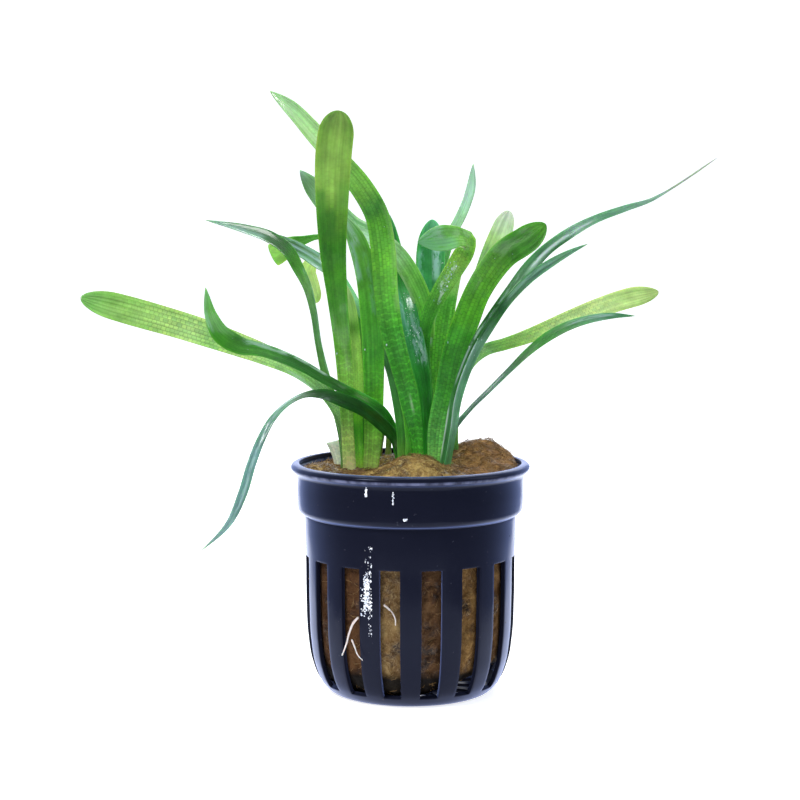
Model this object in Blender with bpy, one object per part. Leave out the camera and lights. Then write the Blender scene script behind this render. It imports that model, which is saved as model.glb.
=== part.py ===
"""A dwarf sagittaria in its slotted net pot.

The pot holds a plug of mineral wool. Three crowns sit in pockets of the wool, and the strap leaves,
two young stems and the stub of a cut leaf rise from them. A root has grown out through a slot.
Sizes are in millimetres and turned into metres as each mesh is made. +Z is up, -Y is the front,
and the origin is the middle of the pot's base.
"""

import math

import bmesh
import bpy
from mathutils import Vector

MM = 0.001
GAP = 0.4

# Pot: sixteen slots, with bars of the same width between them
SLOTS = 16
SEGMENTS = 4 * SLOTS
FLOOR_THICKNESS = 1.2
WALL = 1.0
FOOT_RADIUS = 18.8
SLOT_BOTTOM = 2.4
SLOT_TOP = 32.0
RIM_HEIGHT = 53.5
HUB_RADIUS = 7.5
FLOOR_SLOT_END = 16.0

# Wall stations from the foot to the lip: outer radius and height
WALL_OUTSIDE = [
    (FOOT_RADIUS, 0.0), (20.9, SLOT_BOTTOM), (22.9, 7.0), (23.9, 13.0), (24.4, 22.0), (24.4, SLOT_TOP),
    (24.6, 36.5), (24.9, 41.8), (26.0, 44.0), (26.4, 46.8), (26.45, 50.2),
]
LIP_OUTSIDE = [(27.5, 50.7), (27.7, 52.5), (27.1, 53.3), (26.2, RIM_HEIGHT)]
LIP_INSIDE = [(25.4, 53.0)]

# Wool: a plug that fills the pot, with mounds between the crowns: x, y, height, spread
WOOL_SEGMENTS = 32
WOOL_BASE_HEIGHT = 51.5
WOOL_MOUNDS = [
    (1.0, -9.5, 4.6, 8.5),
    (17.0, 7.0, 6.0, 8.5),
    (4.0, 12.0, 3.0, 8.0),
    (-20.0, -1.0, 1.2, 5.0),
    (-6.6, -4.0, -3.0, 2.6),
]
WOOL_UNDERSIDE_LIFT = 5.0
WOOL_FOOT_RADIUS = 17.0
WOOL_CORNER_HEIGHT = 5.4
WOOL_SIDE_HEIGHTS = (14.0, 22.0, 32.0, 41.6, 44.4)
WOOL_TOP_RADII = (24.5, 20.0, 15.0, 10.0, 5.0)

# Crowns: middle of the top, half widths along X and Y, height of the top
CROWNS = {
    "crown_left": (-12.2, 1.8, 5.6, 6.2, 51.0),
    "crown_middle": (-0.2, 0.4, 4.3, 6.2, 53.5),
    "crown_right": (9.1, 3.0, 4.6, 9.4, 53.0),
}
CROWN_DEPTH = 8.0
CROWN_SEGMENTS = 16
CROWN_SQUARENESS = 4.0
POCKET_RISE = 8.0

# Leaves: tip length, then stations of x, y, z, blade width and roll in degrees
LEAVES = {
    "leaf_tall": (5.5, [
        (-14.0, -3.2, 51.6, 3.0, 0), (-14.6, -3.8, 63.5, 3.0, 0), (-15.0, -5.0, 73.0, 3.7, 0),
        (-15.7, -7.5, 82.5, 4.0, 0), (-16.8, -10.5, 92.0, 4.9, 0), (-17.5, -12.5, 103.0, 6.1, 0),
        (-17.5, -13.5, 113.5, 7.3, 0), (-17.1, -14.5, 124.0, 8.1, 0), (-15.8, -16.0, 133.5, 7.8, 0),
    ]),
    "leaf_second": (8.0, [
        (-9.2, -1.6, 51.6, 3.6, 0), (-8.7, -1.2, 60.0, 3.9, 0), (-8.8, -1.0, 70.0, 4.3, 0),
        (-9.1, -1.5, 80.5, 4.6, 0), (-10.2, -2.5, 90.0, 4.6, 0), (-12.2, -3.5, 97.0, 4.6, 0),
        (-15.0, -4.5, 102.0, 4.2, 0), (-18.2, -5.5, 104.5, 3.2, 0),
    ]),
    "leaf_between": (7.0, [
        (-12.0, 0.8, 51.6, 2.9, 0), (-12.6, 1.8, 60.5, 3.0, 0), (-12.6, 2.8, 70.0, 3.3, 0),
        (-13.1, 4.0, 79.0, 3.5, 0), (-14.0, 5.2, 87.0, 3.5, 0), (-15.2, 6.4, 94.5, 3.1, 0),
    ]),
    "leaf_young_left": (5.0, [
        (-10.6, 3.2, 51.6, 1.9, 0), (-11.2, 5.2, 67.0, 2.4, 0), (-11.7, 7.6, 78.0, 2.8, 0),
        (-12.0, 10.2, 87.5, 2.6, 0),
    ]),
    "leaf_pale_left": (8.0, [
        (-15.2, -0.6, 51.6, 2.0, 0), (-15.2, -0.6, 57.5, 2.1, 0), (-16.0, -0.4, 62.6, 2.3, 0),
        (-17.9, 0.2, 66.8, 2.5, 0), (-21.5, 1.2, 71.0, 2.9, 5), (-26.8, 2.6, 74.8, 3.6, 10),
        (-33.4, 4.0, 77.8, 4.8, 15), (-40.7, 5.5, 80.4, 5.8, 20), (-48.3, 7.0, 82.9, 6.5, 20),
        (-57.0, 8.0, 85.6, 6.8, 20), (-66.5, 9.0, 88.2, 6.9, 20), (-77.8, 10.0, 91.2, 6.0, 20),
    ]),
    "leaf_arch_left": (14.0, [
        (-15.0, 1.6, 51.6, 1.9, 0), (-16.2, 1.8, 60.8, 2.0, 20), (-17.8, 2.6, 66.7, 2.1, 30),
        (-19.9, 4.0, 73.4, 2.1, 30), (-21.6, 5.6, 80.5, 1.9, 40), (-22.8, 7.8, 88.0, 1.9, 35),
        (-24.3, 9.8, 93.6, 2.3, 25), (-26.6, 11.8, 98.2, 2.9, 20), (-29.0, 13.6, 102.2, 3.2, 20),
        (-33.2, 16.0, 105.2, 3.1, 20), (-39.0, 18.5, 107.1, 2.5, 20), (-49.6, 22.0, 109.4, 1.6, 30),
    ]),
    "leaf_folded_left": (1.5, [
        (-13.4, 5.0, 51.6, 2.4, 0), (-14.9, 9.0, 67.0, 2.9, 0), (-16.7, 14.0, 83.0, 3.6, 0),
        (-18.8, 19.5, 97.0, 4.1, 10), (-22.2, 22.5, 103.6, 4.0, 45), (-27.0, 24.5, 105.0, 4.0, 60),
        (-31.0, 25.5, 102.6, 4.0, 30), (-32.4, 26.0, 97.8, 4.0, 0),
    ]),
    "leaf_hanging_tip": (2.5, [
        (-11.6, 6.6, 51.6, 2.2, 0), (-13.6, 11.0, 68.0, 2.8, 0), (-15.6, 17.5, 84.0, 3.4, 0),
        (-17.8, 25.0, 96.6, 3.8, 10), (-20.4, 30.5, 101.2, 3.8, 20), (-22.6, 33.0, 97.6, 3.8, 10),
        (-22.6, 34.0, 89.2, 3.6, 0),
    ]),
    "leaf_long": (9.0, [
        (1.9, -3.4, 54.2, 2.3, 0), (1.2, -4.4, 61.4, 3.3, 0), (-0.2, -5.0, 68.5, 4.4, 0),
        (-2.3, -5.5, 76.5, 4.7, 0), (-4.3, -6.0, 84.5, 5.2, 0), (-5.6, -6.0, 93.5, 5.5, 0),
        (-6.2, -5.5, 102.6, 5.7, 0), (-7.7, -4.0, 110.6, 5.5, 0), (-11.2, -2.0, 116.8, 5.3, 0),
        (-16.3, 0.5, 122.8, 5.0, 0), (-22.2, 4.0, 129.4, 4.5, 0), (-27.6, 7.0, 135.2, 3.6, 0),
        (-32.8, 10.0, 139.4, 2.6, 0),
    ]),
    "leaf_parallel": (6.0, [
        (3.0, 4.8, 54.2, 2.2, 0), (4.0, 5.0, 67.5, 3.4, 0), (4.0, 5.8, 79.5, 4.3, 0),
        (2.8, 6.4, 88.5, 4.7, 0), (0.1, 6.4, 96.0, 4.6, 10), (-3.4, 6.2, 101.5, 4.8, 20),
        (-8.2, 6.2, 105.2, 5.0, 20), (-13.7, 6.6, 107.8, 5.4, 10), (-18.8, 7.2, 112.6, 5.4, 0),
        (-22.6, 7.8, 117.0, 4.4, 0), (-25.8, 8.4, 121.0, 2.6, 0),
    ]),
    "leaf_glossy": (9.0, [
        (3.3, -0.4, 54.2, 2.0, 0), (3.8, -0.2, 62.0, 2.6, 0), (3.3, 0.0, 70.0, 3.4, 0),
        (1.9, 0.4, 77.8, 4.2, 0), (0.0, 0.8, 85.5, 4.6, 0), (-2.0, 1.0, 93.5, 4.8, 0),
        (-4.1, 1.2, 102.0, 4.6, 0), (-6.0, 1.4, 109.0, 4.1, 0), (-7.8, 1.6, 114.5, 3.0, 0),
    ]),
    "leaf_crossing": (10.0, [
        (-2.3, -5.0, 54.2, 1.9, 0), (-3.2, -5.2, 62.3, 2.1, 0), (-4.4, -3.4, 69.2, 1.9, 20),
        (-5.6, 0.2, 75.5, 1.9, 30), (-8.1, 3.6, 81.5, 1.9, 30), (-11.4, 7.2, 87.5, 2.2, 30),
        (-14.9, 11.6, 93.0, 2.6, 30), (-18.3, 14.2, 97.0, 3.3, 20), (-21.9, 16.4, 99.6, 3.6, 15),
        (-26.8, 18.6, 102.5, 3.2, 15), (-31.6, 20.4, 104.8, 2.6, 20), (-36.2, 22.4, 107.0, 2.0, 20),
    ]),
    "leaf_short_middle": (7.0, [
        (-0.3, -3.2, 54.2, 1.8, 0), (-1.6, -2.6, 62.3, 2.0, 0), (-3.2, -0.4, 68.5, 1.9, 10),
        (-4.8, 2.4, 75.5, 1.8, 20), (-6.4, 5.6, 84.0, 1.8, 20),
    ]),
    "leaf_hooked": (9.0, [
        (-2.6, 1.6, 54.2, 2.0, 10), (-4.2, -0.2, 61.2, 2.3, 10), (-6.4, -3.0, 65.4, 2.3, 10),
        (-10.3, -5.8, 68.5, 2.3, 0), (-14.8, -8.4, 71.0, 2.3, 0), (-19.4, -10.8, 73.7, 2.4, 10),
        (-24.1, -13.2, 76.7, 2.7, 20), (-28.6, -15.4, 79.0, 3.0, 25), (-33.4, -17.4, 80.8, 3.4, 30),
        (-38.2, -19.4, 82.0, 4.2, 20), (-41.8, -21.2, 84.6, 4.2, 0), (-43.7, -23.0, 88.6, 3.0, 0),
        (-44.7, -25.0, 95.0, 2.2, 0),
    ]),
    "leaf_drooping": (16.0, [
        (-1.8, -1.6, 54.2, 2.0, 0), (-3.5, -2.6, 59.0, 2.5, 5), (-6.4, -4.6, 62.5, 3.0, 5),
        (-10.5, -7.4, 66.2, 3.0, 0), (-15.5, -10.0, 68.7, 2.7, 10), (-20.2, -12.4, 70.3, 2.3, 40),
        (-24.0, -14.2, 70.2, 1.9, 55), (-27.4, -16.0, 68.6, 1.8, 55), (-30.6, -18.0, 65.6, 1.9, 40),
        (-33.2, -20.2, 61.0, 2.0, 20), (-35.0, -22.2, 56.4, 2.1, 10), (-37.0, -25.0, 49.6, 2.1, 0),
        (-39.6, -28.0, 43.8, 1.7, 0), (-46.2, -32.0, 37.4, 1.0, 0),
    ]),
    "leaf_curled": (5.0, [
        (6.2, 1.6, 53.6, 2.0, 0), (4.8, 2.2, 63.0, 2.3, 0), (4.0, 2.4, 72.0, 2.8, 0),
        (3.8, 2.6, 79.0, 3.2, 0), (4.9, 3.2, 86.0, 4.2, 0), (7.8, 4.4, 92.5, 5.6, 0),
        (11.0, 5.6, 98.5, 6.1, 0), (13.7, 6.4, 102.6, 6.0, 25), (13.6, 4.4, 105.0, 5.4, 50),
        (11.2, 2.4, 105.4, 5.6, 35), (8.2, 0.6, 105.3, 6.0, 15), (4.8, -1.2, 104.9, 5.0, 0),
        (1.6, -2.8, 104.4, 3.0, 0),
    ]),
    "leaf_dark_back": (6.0, [
        (6.8, 9.6, 53.6, 2.4, 0), (5.6, 12.2, 67.0, 3.3, 0), (5.3, 15.0, 81.0, 4.8, 0),
        (4.9, 18.0, 92.5, 6.4, 0), (5.0, 21.0, 101.0, 7.0, 0), (5.5, 24.0, 109.5, 5.0, 0),
    ]),
    "leaf_thin_upright": (8.0, [
        (9.0, 10.8, 53.6, 1.4, 0), (7.8, 14.0, 67.0, 1.9, 0), (7.0, 18.0, 81.0, 2.0, 0),
        (7.2, 21.6, 91.5, 2.2, 0), (8.2, 23.4, 99.5, 2.3, 0), (10.2, 24.6, 106.0, 2.5, 0),
        (12.9, 25.6, 111.4, 2.5, 0), (14.8, 26.8, 116.8, 2.4, 0), (15.5, 28.4, 123.2, 2.0, 0),
    ]),
    "leaf_pale_middle": (5.0, [
        (7.6, 6.2, 53.6, 2.8, 0), (6.9, 7.2, 62.6, 3.8, 0), (6.7, 8.0, 72.0, 4.7, 0),
        (7.1, 9.0, 80.2, 5.2, 0), (8.3, 10.4, 88.3, 4.7, 0), (9.8, 12.0, 95.3, 4.2, 0),
        (11.5, 13.4, 100.6, 3.2, 0),
    ]),
    "leaf_broad": (6.0, [
        (7.2, -4.8, 53.8, 3.6, 0), (7.0, -6.0, 62.0, 5.1, 0), (8.0, -7.0, 70.4, 5.9, 0),
        (9.5, -8.0, 78.7, 6.4, 0), (11.6, -9.0, 86.4, 7.0, 0), (14.5, -10.4, 93.2, 7.2, 0),
        (17.6, -12.4, 98.4, 7.3, 0), (21.3, -15.2, 101.7, 6.9, 0), (25.3, -19.0, 104.2, 6.0, 0),
        (29.3, -23.0, 108.0, 5.0, 0),
    ]),
    "leaf_pale_tip": (4.0, [
        (10.0, 7.4, 53.6, 1.9, 0), (11.2, 11.5, 67.0, 3.2, 0), (14.2, 18.0, 80.5, 4.2, 0),
        (18.2, 27.0, 92.5, 5.2, 0), (21.6, 35.0, 103.0, 5.6, 0), (24.8, 42.0, 111.6, 4.9, 0),
    ]),
    "leaf_thread_tip": (26.0, [
        (10.0, -2.4, 53.6, 2.4, 0), (10.0, -2.8, 62.0, 2.2, 0), (11.1, -2.6, 70.3, 2.3, 0),
        (13.0, -2.2, 77.2, 2.5, 0), (15.6, -1.2, 82.6, 2.8, 0), (19.2, 0.4, 87.8, 3.0, 0),
        (23.2, 2.6, 93.2, 3.0, 0), (27.3, 5.0, 98.4, 3.3, 10), (31.6, 7.2, 102.6, 3.1, 20),
        (36.9, 9.4, 106.2, 2.9, 20), (43.6, 12.0, 109.6, 2.2, 20), (51.0, 15.0, 112.2, 1.7, 20),
        (57.5, 17.0, 114.2, 1.2, 20), (65.4, 20.0, 118.6, 1.0, 0), (74.4, 23.0, 124.5, 1.0, 0),
    ]),
    "leaf_inner_right": (12.0, [
        (11.8, -4.4, 53.6, 1.8, 0), (11.5, -5.2, 62.5, 1.8, 10), (11.9, -5.6, 69.0, 1.9, 10),
        (13.0, -6.0, 74.8, 2.0, 20), (15.0, -6.6, 80.4, 2.1, 20), (18.0, -7.4, 85.6, 2.1, 20),
        (21.7, -8.2, 91.2, 2.2, 20), (26.2, -9.0, 96.0, 2.3, 20), (31.3, -10.0, 99.8, 2.2, 20),
        (35.8, -11.0, 102.4, 1.9, 20), (39.8, -12.0, 104.2, 1.6, 20),
    ]),
    "leaf_pale_right": (7.0, [
        (10.4, 4.6, 53.6, 1.9, 0), (10.4, 6.4, 62.0, 2.1, 0), (11.6, 9.2, 70.2, 2.4, 0),
        (14.4, 12.6, 75.6, 2.6, 0), (18.2, 16.0, 78.4, 2.9, -5), (22.9, 18.6, 79.6, 3.0, -10),
        (27.8, 21.0, 81.0, 3.5, -15), (33.3, 23.2, 82.9, 4.1, -20), (39.5, 25.4, 85.2, 4.7, -20),
        (46.6, 28.0, 87.9, 5.0, -20), (53.9, 30.8, 90.0, 5.2, -20), (61.8, 33.0, 91.6, 4.6, -20),
    ]),
    "leaf_low_right": (12.0, [
        (12.2, 1.0, 53.6, 1.5, 0), (12.2, 0.8, 61.0, 1.5, 30), (14.4, 0.0, 66.2, 1.5, 40),
        (18.3, -1.4, 70.4, 1.6, 40), (22.8, -3.2, 75.2, 1.7, 35), (27.3, -5.0, 79.8, 2.0, 20),
        (31.7, -6.6, 83.3, 2.4, 10), (36.1, -8.0, 85.7, 2.3, 10), (40.5, -9.4, 87.2, 2.1, 20),
        (45.3, -10.8, 88.0, 2.0, 20), (50.6, -12.0, 88.0, 1.7, 20),
    ]),
}
LEAF_THICKNESS = 0.8
LEAF_CHANNEL = 0.10
LEAF_SHOULDER = 0.45
LEAF_STEP = 5.0
TIP_ANGLES = (90.0, 62.0, 36.0, 12.0)

# Young stems between the crowns: stations of x, y, z, and a radius
STEMS = {
    "stem_upright": (0.80, [(-5.2, 6.0, 53.0), (-5.1, 6.2, 57.0), (-5.0, 6.4, 61.0)]),
    "stem_leaning": (0.55, [(-7.4, 7.4, 52.4), (-6.9, 7.6, 56.0), (-6.0, 8.0, 61.0)]),
}

# Stub of a leaf cut off above the wool: foot, top, width and thickness
STUB_FOOT = (-16.6, 9.4, 52.6)
STUB_TOP = (-18.4, 9.8, 57.0)
STUB_WIDTH = 3.0
STUB_THICKNESS = 1.1

# Roots: stations of x, y, z, and a radius
ROOTS = {
    "root_outer": (0.30, [
        (-11.7, -22.2, 21.4), (-12.8, -21.6, 20.0), (-13.7, -21.0, 17.7), (-14.4, -20.5, 15.0),
        (-15.4, -19.5, 12.1),
    ]),
    "root_branch": (0.20, [
        (-13.2, -21.3, 16.2), (-12.5, -21.7, 14.5), (-11.8, -22.1, 12.8), (-10.7, -22.6, 11.7),
    ]),
    "root_inner": (0.24, [
        (-6.0, -22.97, 24.4), (-4.5, -23.3, 23.1), (-3.5, -23.5, 21.5), (-3.4, -23.5, 19.8),
    ]),
}


def clear_scene():
    for item in list(bpy.data.objects):
        bpy.data.objects.remove(item, do_unlink=True)


def make_material(name, colour, roughness):
    material = bpy.data.materials.new(name)
    material.use_nodes = True
    shader = material.node_tree.nodes["Principled BSDF"]
    shader.inputs["Base Color"].default_value = (*colour, 1.0)
    shader.inputs["Roughness"].default_value = roughness
    shader.inputs["Metallic"].default_value = 0.0
    material.diffuse_color = (*colour, 1.0)
    return material


def add_object(name, mesh_source, material):
    """Turn a bmesh in millimetres into an object in metres."""
    bmesh.ops.recalc_face_normals(mesh_source, faces=mesh_source.faces)
    bmesh.ops.scale(mesh_source, vec=(MM, MM, MM), verts=mesh_source.verts)
    mesh = bpy.data.meshes.new(name)
    mesh_source.to_mesh(mesh)
    mesh_source.free()
    mesh.shade_smooth()
    mesh.set_sharp_from_angle(angle=math.radians(35.0))
    mesh.materials.append(material)
    item = bpy.data.objects.new(name, mesh)
    bpy.context.scene.collection.objects.link(item)
    return item


def bridge_rings(build, lower, upper):
    """Join two rings of the same count with a band of quads."""
    count = len(lower)
    for index in range(count):
        after = (index + 1) % count
        build.faces.new((lower[index], lower[after], upper[after], upper[index]))


def close_ring(build, ring):
    """Close a ring with a fan round its middle."""
    middle = sum((vert.co for vert in ring), Vector()) / len(ring)
    hub = build.verts.new(middle)
    count = len(ring)
    for index in range(count):
        build.faces.new((ring[index], ring[(index + 1) % count], hub))


def slope(values, lengths, index):
    """Rate of change at a station, weighted by the spans on both sides of it."""
    last = len(values) - 1
    before = max(index - 1, 0)
    after = min(index + 1, last)
    if before == index or after == index:
        return (values[after] - values[before]) / (lengths[after] - lengths[before])
    span_before = lengths[index] - lengths[before]
    span_after = lengths[after] - lengths[index]
    rate_before = (values[index] - values[before]) / span_before
    rate_after = (values[after] - values[index]) / span_after
    return (rate_before * span_after + rate_after * span_before) / (span_before + span_after)


class SmoothPath:
    """A smooth curve through stations whose first three values are x, y and z."""

    def __init__(self, stations):
        self.columns = list(zip(*stations))
        self.lengths = [0.0]
        for here, after in zip(stations, stations[1:]):
            chord = (Vector(after[:3]) - Vector(here[:3])).length
            self.lengths.append(self.lengths[-1] + chord)
        self.length = self.lengths[-1]

    def at(self, distance):
        """All the values of the curve at a distance from its start."""
        distance = min(max(distance, 0.0), self.length)
        index = 0
        while index < len(self.lengths) - 2 and distance > self.lengths[index + 1]:
            index += 1
        span = self.lengths[index + 1] - self.lengths[index]
        part = (distance - self.lengths[index]) / span
        square = part * part
        cube = square * part
        result = []
        for values in self.columns:
            start_slope = slope(values, self.lengths, index) * span
            end_slope = slope(values, self.lengths, index + 1) * span
            result.append(
                (2 * cube - 3 * square + 1) * values[index]
                + (cube - 2 * square + part) * start_slope
                + (3 * square - 2 * cube) * values[index + 1]
                + (cube - square) * end_slope
            )
        return result

    def frame(self, distance):
        """Point, direction, the way across that faces the front, and the other values."""
        reach = 0.2
        here = self.at(distance)
        ahead = Vector(self.at(distance + reach)[:3])
        behind = Vector(self.at(distance - reach)[:3])
        tangent = (ahead - behind).normalized()
        across = Vector((0.0, 1.0, 0.0)).cross(tangent).normalized()
        return Vector(here[:3]), tangent, across, here[3:]


def tip_factor(distance_to_tip, tip_length, width):
    """Share of the blade's width left near the tip: short tips are round and long ones pointed."""
    if distance_to_tip >= tip_length:
        return 1.0
    pointed = min(max((tip_length / width - 1.0) / 3.0, 0.0), 1.0)
    part = 1.0 - distance_to_tip / tip_length
    return (1.0 - part * part) ** (0.5 + 0.35 * pointed)


def leaf_distances(path, tip_length):
    """Distances of the cross-sections: even along the blade and closer at the tip."""
    body = path.length - tip_length
    count = max(4, round(body / LEAF_STEP))
    distances = [body * index / count for index in range(count)]
    for angle in TIP_ANGLES:
        distances.append(path.length - tip_length * (1.0 - math.cos(math.radians(angle))))
    return distances


def leaf_section(build, path, distance, tip_length):
    """Six points round a blade that is thick in the middle and thin at its edges."""
    point, tangent, across, (width, roll) = path.frame(distance)
    normal = tangent.cross(across)
    turn = math.radians(roll)
    side = across * math.cos(turn) + normal * math.sin(turn)
    face = tangent.cross(side)
    half = 0.5 * width * tip_factor(path.length - distance, tip_length, width)
    thick = 0.5 * min(LEAF_THICKNESS, 0.9 * half)
    rise = LEAF_CHANNEL * half
    shoulder = LEAF_SHOULDER * half
    outline = [
        (-half, -rise), (-shoulder, thick), (shoulder, thick),
        (half, -rise), (shoulder, -thick), (-shoulder, -thick),
    ]
    return [build.verts.new(point + side * along + face * out) for along, out in outline]


def make_leaf(name, tip_length, stations, material):
    path = SmoothPath(stations)
    build = bmesh.new()
    rings = []
    for distance in leaf_distances(path, tip_length):
        rings.append(leaf_section(build, path, distance, tip_length))
    for lower, upper in zip(rings, rings[1:]):
        bridge_rings(build, lower, upper)
    build.faces.new(rings[0])
    build.faces.new(rings[-1])
    return add_object(name, build, material)


def make_rod(name, radius, stations, material, sides=6, step=1.6):
    """A thin round stem or root that follows its stations and narrows towards its end."""
    path = SmoothPath(stations)
    count = max(3, round(path.length / step))
    build = bmesh.new()
    rings = []
    for index in range(count + 1):
        part = index / count
        point, tangent, across, _ = path.frame(path.length * part)
        normal = tangent.cross(across)
        size = radius * (1.0 - 0.45 * part)
        ring = []
        for side in range(sides):
            angle = math.tau * side / sides
            offset = across * math.cos(angle) + normal * math.sin(angle)
            ring.append(build.verts.new(point + offset * size))
        rings.append(ring)
    for lower, upper in zip(rings, rings[1:]):
        bridge_rings(build, lower, upper)
    build.faces.new(rings[0])
    build.faces.new(rings[-1])
    return add_object(name, build, material)


def wall_radius(height):
    """Outer radius of the pot's wall at a height."""
    if height <= WALL_OUTSIDE[0][1]:
        return WALL_OUTSIDE[0][0]
    for (low_radius, low), (high_radius, high) in zip(WALL_OUTSIDE, WALL_OUTSIDE[1:]):
        if height <= high:
            return low_radius + (high_radius - low_radius) * (height - low) / (high - low)
    return WALL_OUTSIDE[-1][0]


def in_slot(column):
    """Slots and bars take turns round the pot, two columns each; a bar is at the middle front."""
    return column % 4 in (1, 2)


def make_pot(material):
    """The pot as an outer and an inner skin on one grid, with the slots left out and walled in."""
    # each station: outer radius, outer height, inner radius, inner height, open above
    stations = [
        (HUB_RADIUS, 0.0, HUB_RADIUS, FLOOR_THICKNESS, True),
        (FLOOR_SLOT_END, 0.0, FLOOR_SLOT_END, FLOOR_THICKNESS, False),
        (FOOT_RADIUS, 0.0, FOOT_RADIUS - WALL, FLOOR_THICKNESS, False),
    ]
    for radius, height in WALL_OUTSIDE[1:]:
        stations.append((radius, height, radius - WALL, height, SLOT_BOTTOM <= height < SLOT_TOP))
    build = bmesh.new()
    outer = []
    inner = []
    for out_radius, out_height, in_radius, in_height, _ in stations:
        outer.append(ring_of(build, out_radius, out_height))
        inner.append(ring_of(build, in_radius, in_height))
    for row in range(len(stations) - 1):
        open_row = stations[row][4]
        for column in range(SEGMENTS):
            after = (column + 1) % SEGMENTS
            if open_row and in_slot(column):
                wall_slot(build, outer, inner, stations, row, column)
                continue
            build.faces.new((outer[row][column], outer[row][after], outer[row + 1][after],
                             outer[row + 1][column]))
            build.faces.new((inner[row][after], inner[row][column], inner[row + 1][column],
                             inner[row + 1][after]))
    close_ring(build, outer[0])
    close_ring(build, inner[0])
    lip = outer[-1]
    for radius, height in LIP_OUTSIDE + LIP_INSIDE:
        above = ring_of(build, radius, height)
        bridge_rings(build, lip, above)
        lip = above
    bridge_rings(build, lip, inner[-1])
    return add_object("pot", build, material)


def ring_of(build, radius, height):
    """A ring of the pot's grid. Column 0 starts at the middle of the front bar."""
    ring = []
    for column in range(SEGMENTS):
        angle = math.tau * column / SEGMENTS - math.pi / 2
        ring.append(build.verts.new((radius * math.cos(angle), radius * math.sin(angle), height)))
    return ring


def wall_slot(build, outer, inner, stations, row, column):
    """The side walls of one cell of a slot, and its end walls where the slot stops."""
    after = (column + 1) % SEGMENTS
    if not in_slot((column - 1) % SEGMENTS):
        build.faces.new((outer[row][column], outer[row + 1][column], inner[row + 1][column],
                         inner[row][column]))
    if not in_slot(after):
        build.faces.new((outer[row][after], inner[row][after], inner[row + 1][after],
                         outer[row + 1][after]))
    if row == 0 or not stations[row - 1][4]:
        build.faces.new((outer[row][column], inner[row][column], inner[row][after],
                         outer[row][after]))
    if not stations[row + 1][4]:
        build.faces.new((outer[row + 1][column], outer[row + 1][after], inner[row + 1][after],
                         inner[row + 1][column]))


def wool_top(x, y):
    height = WOOL_BASE_HEIGHT
    for mound_x, mound_y, rise, spread in WOOL_MOUNDS:
        square = (x - mound_x) ** 2 + (y - mound_y) ** 2
        height += rise * math.exp(-square / spread ** 2)
    return height


def wool_underside(x):
    """The plug's underside rises towards the right, where light shows below it."""
    lift = min(max((x + 2.0) / 20.0, 0.0), 1.0)
    return FLOOR_THICKNESS + GAP + WOOL_UNDERSIDE_LIFT * lift


def wool_ring(build, radius_and_height):
    """A ring of the plug, from a function that gives its radius and height in each direction."""
    ring = []
    for column in range(WOOL_SEGMENTS):
        angle = math.tau * column / WOOL_SEGMENTS
        cosine = math.cos(angle)
        sine = math.sin(angle)
        radius, height = radius_and_height(cosine, sine)
        ring.append(build.verts.new((radius * cosine, radius * sine, height)))
    return ring


def make_wool(material):
    """The plug: a flat underside, a side that follows the pot's inner wall, and a lumpy top."""
    def fitted(height):
        return wall_radius(height) - WALL - GAP

    def under(radius):
        return lambda cosine, sine: (radius, wool_underside(radius * cosine))

    def corner(cosine, sine):
        height = wool_underside(WOOL_FOOT_RADIUS * cosine) + WOOL_CORNER_HEIGHT
        return fitted(height) - GAP, height

    def side(level):
        return lambda cosine, sine: (fitted(level), level)

    def top(radius):
        return lambda cosine, sine: (radius, wool_top(radius * cosine, radius * sine))

    build = bmesh.new()
    rings = [
        wool_ring(build, under(WOOL_FOOT_RADIUS / 2)),
        wool_ring(build, under(WOOL_FOOT_RADIUS)),
        wool_ring(build, corner),
    ]
    for level in WOOL_SIDE_HEIGHTS:
        rings.append(wool_ring(build, side(level)))
    for radius in WOOL_TOP_RADII:
        rings.append(wool_ring(build, top(radius)))
    for lower, upper in zip(rings, rings[1:]):
        bridge_rings(build, lower, upper)
    close_ring(build, rings[0])
    close_ring(build, rings[-1])
    return add_object("wool", build, material)


def crown_ring(build, place, height, share, grow):
    x, y, half_x, half_y, _ = place
    power = CROWN_SQUARENESS
    ring = []
    for column in range(CROWN_SEGMENTS):
        angle = math.tau * column / CROWN_SEGMENTS
        cosine = math.cos(angle)
        sine = math.sin(angle)
        reach = (abs(cosine) ** power + abs(sine) ** power) ** (-1.0 / power)
        ring.append(build.verts.new((
            x + (half_x * share + grow) * reach * cosine,
            y + (half_y * share + grow) * reach * sine,
            height,
        )))
    return ring


def make_crown(name, place, material, grow=0.0, rise=0.0):
    """A short rounded block that narrows downwards. A pocket's cutter grows and rises past it."""
    top = place[4]
    build = bmesh.new()
    rings = [
        crown_ring(build, place, top - CROWN_DEPTH - grow, 0.62, grow),
        crown_ring(build, place, top - 0.55 * CROWN_DEPTH, 0.92, grow),
        crown_ring(build, place, top, 1.0, grow),
    ]
    if rise:
        rings.append(crown_ring(build, place, top + rise, 1.0, grow))
    for lower, upper in zip(rings, rings[1:]):
        bridge_rings(build, lower, upper)
    build.faces.new(rings[0])
    build.faces.new(rings[-1])
    return add_object(name, build, material)


def cut_pocket(wool, name, place, material):
    """Sink a pocket for one crown into the wool."""
    cutter = make_crown(name + "_pocket", place, material, grow=GAP, rise=POCKET_RISE)
    cutter.hide_render = True
    cutter.display_type = "WIRE"
    cut = wool.modifiers.new(name + "_pocket", "BOOLEAN")
    cut.operation = "DIFFERENCE"
    cut.solver = "EXACT"
    cut.object = cutter


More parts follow.
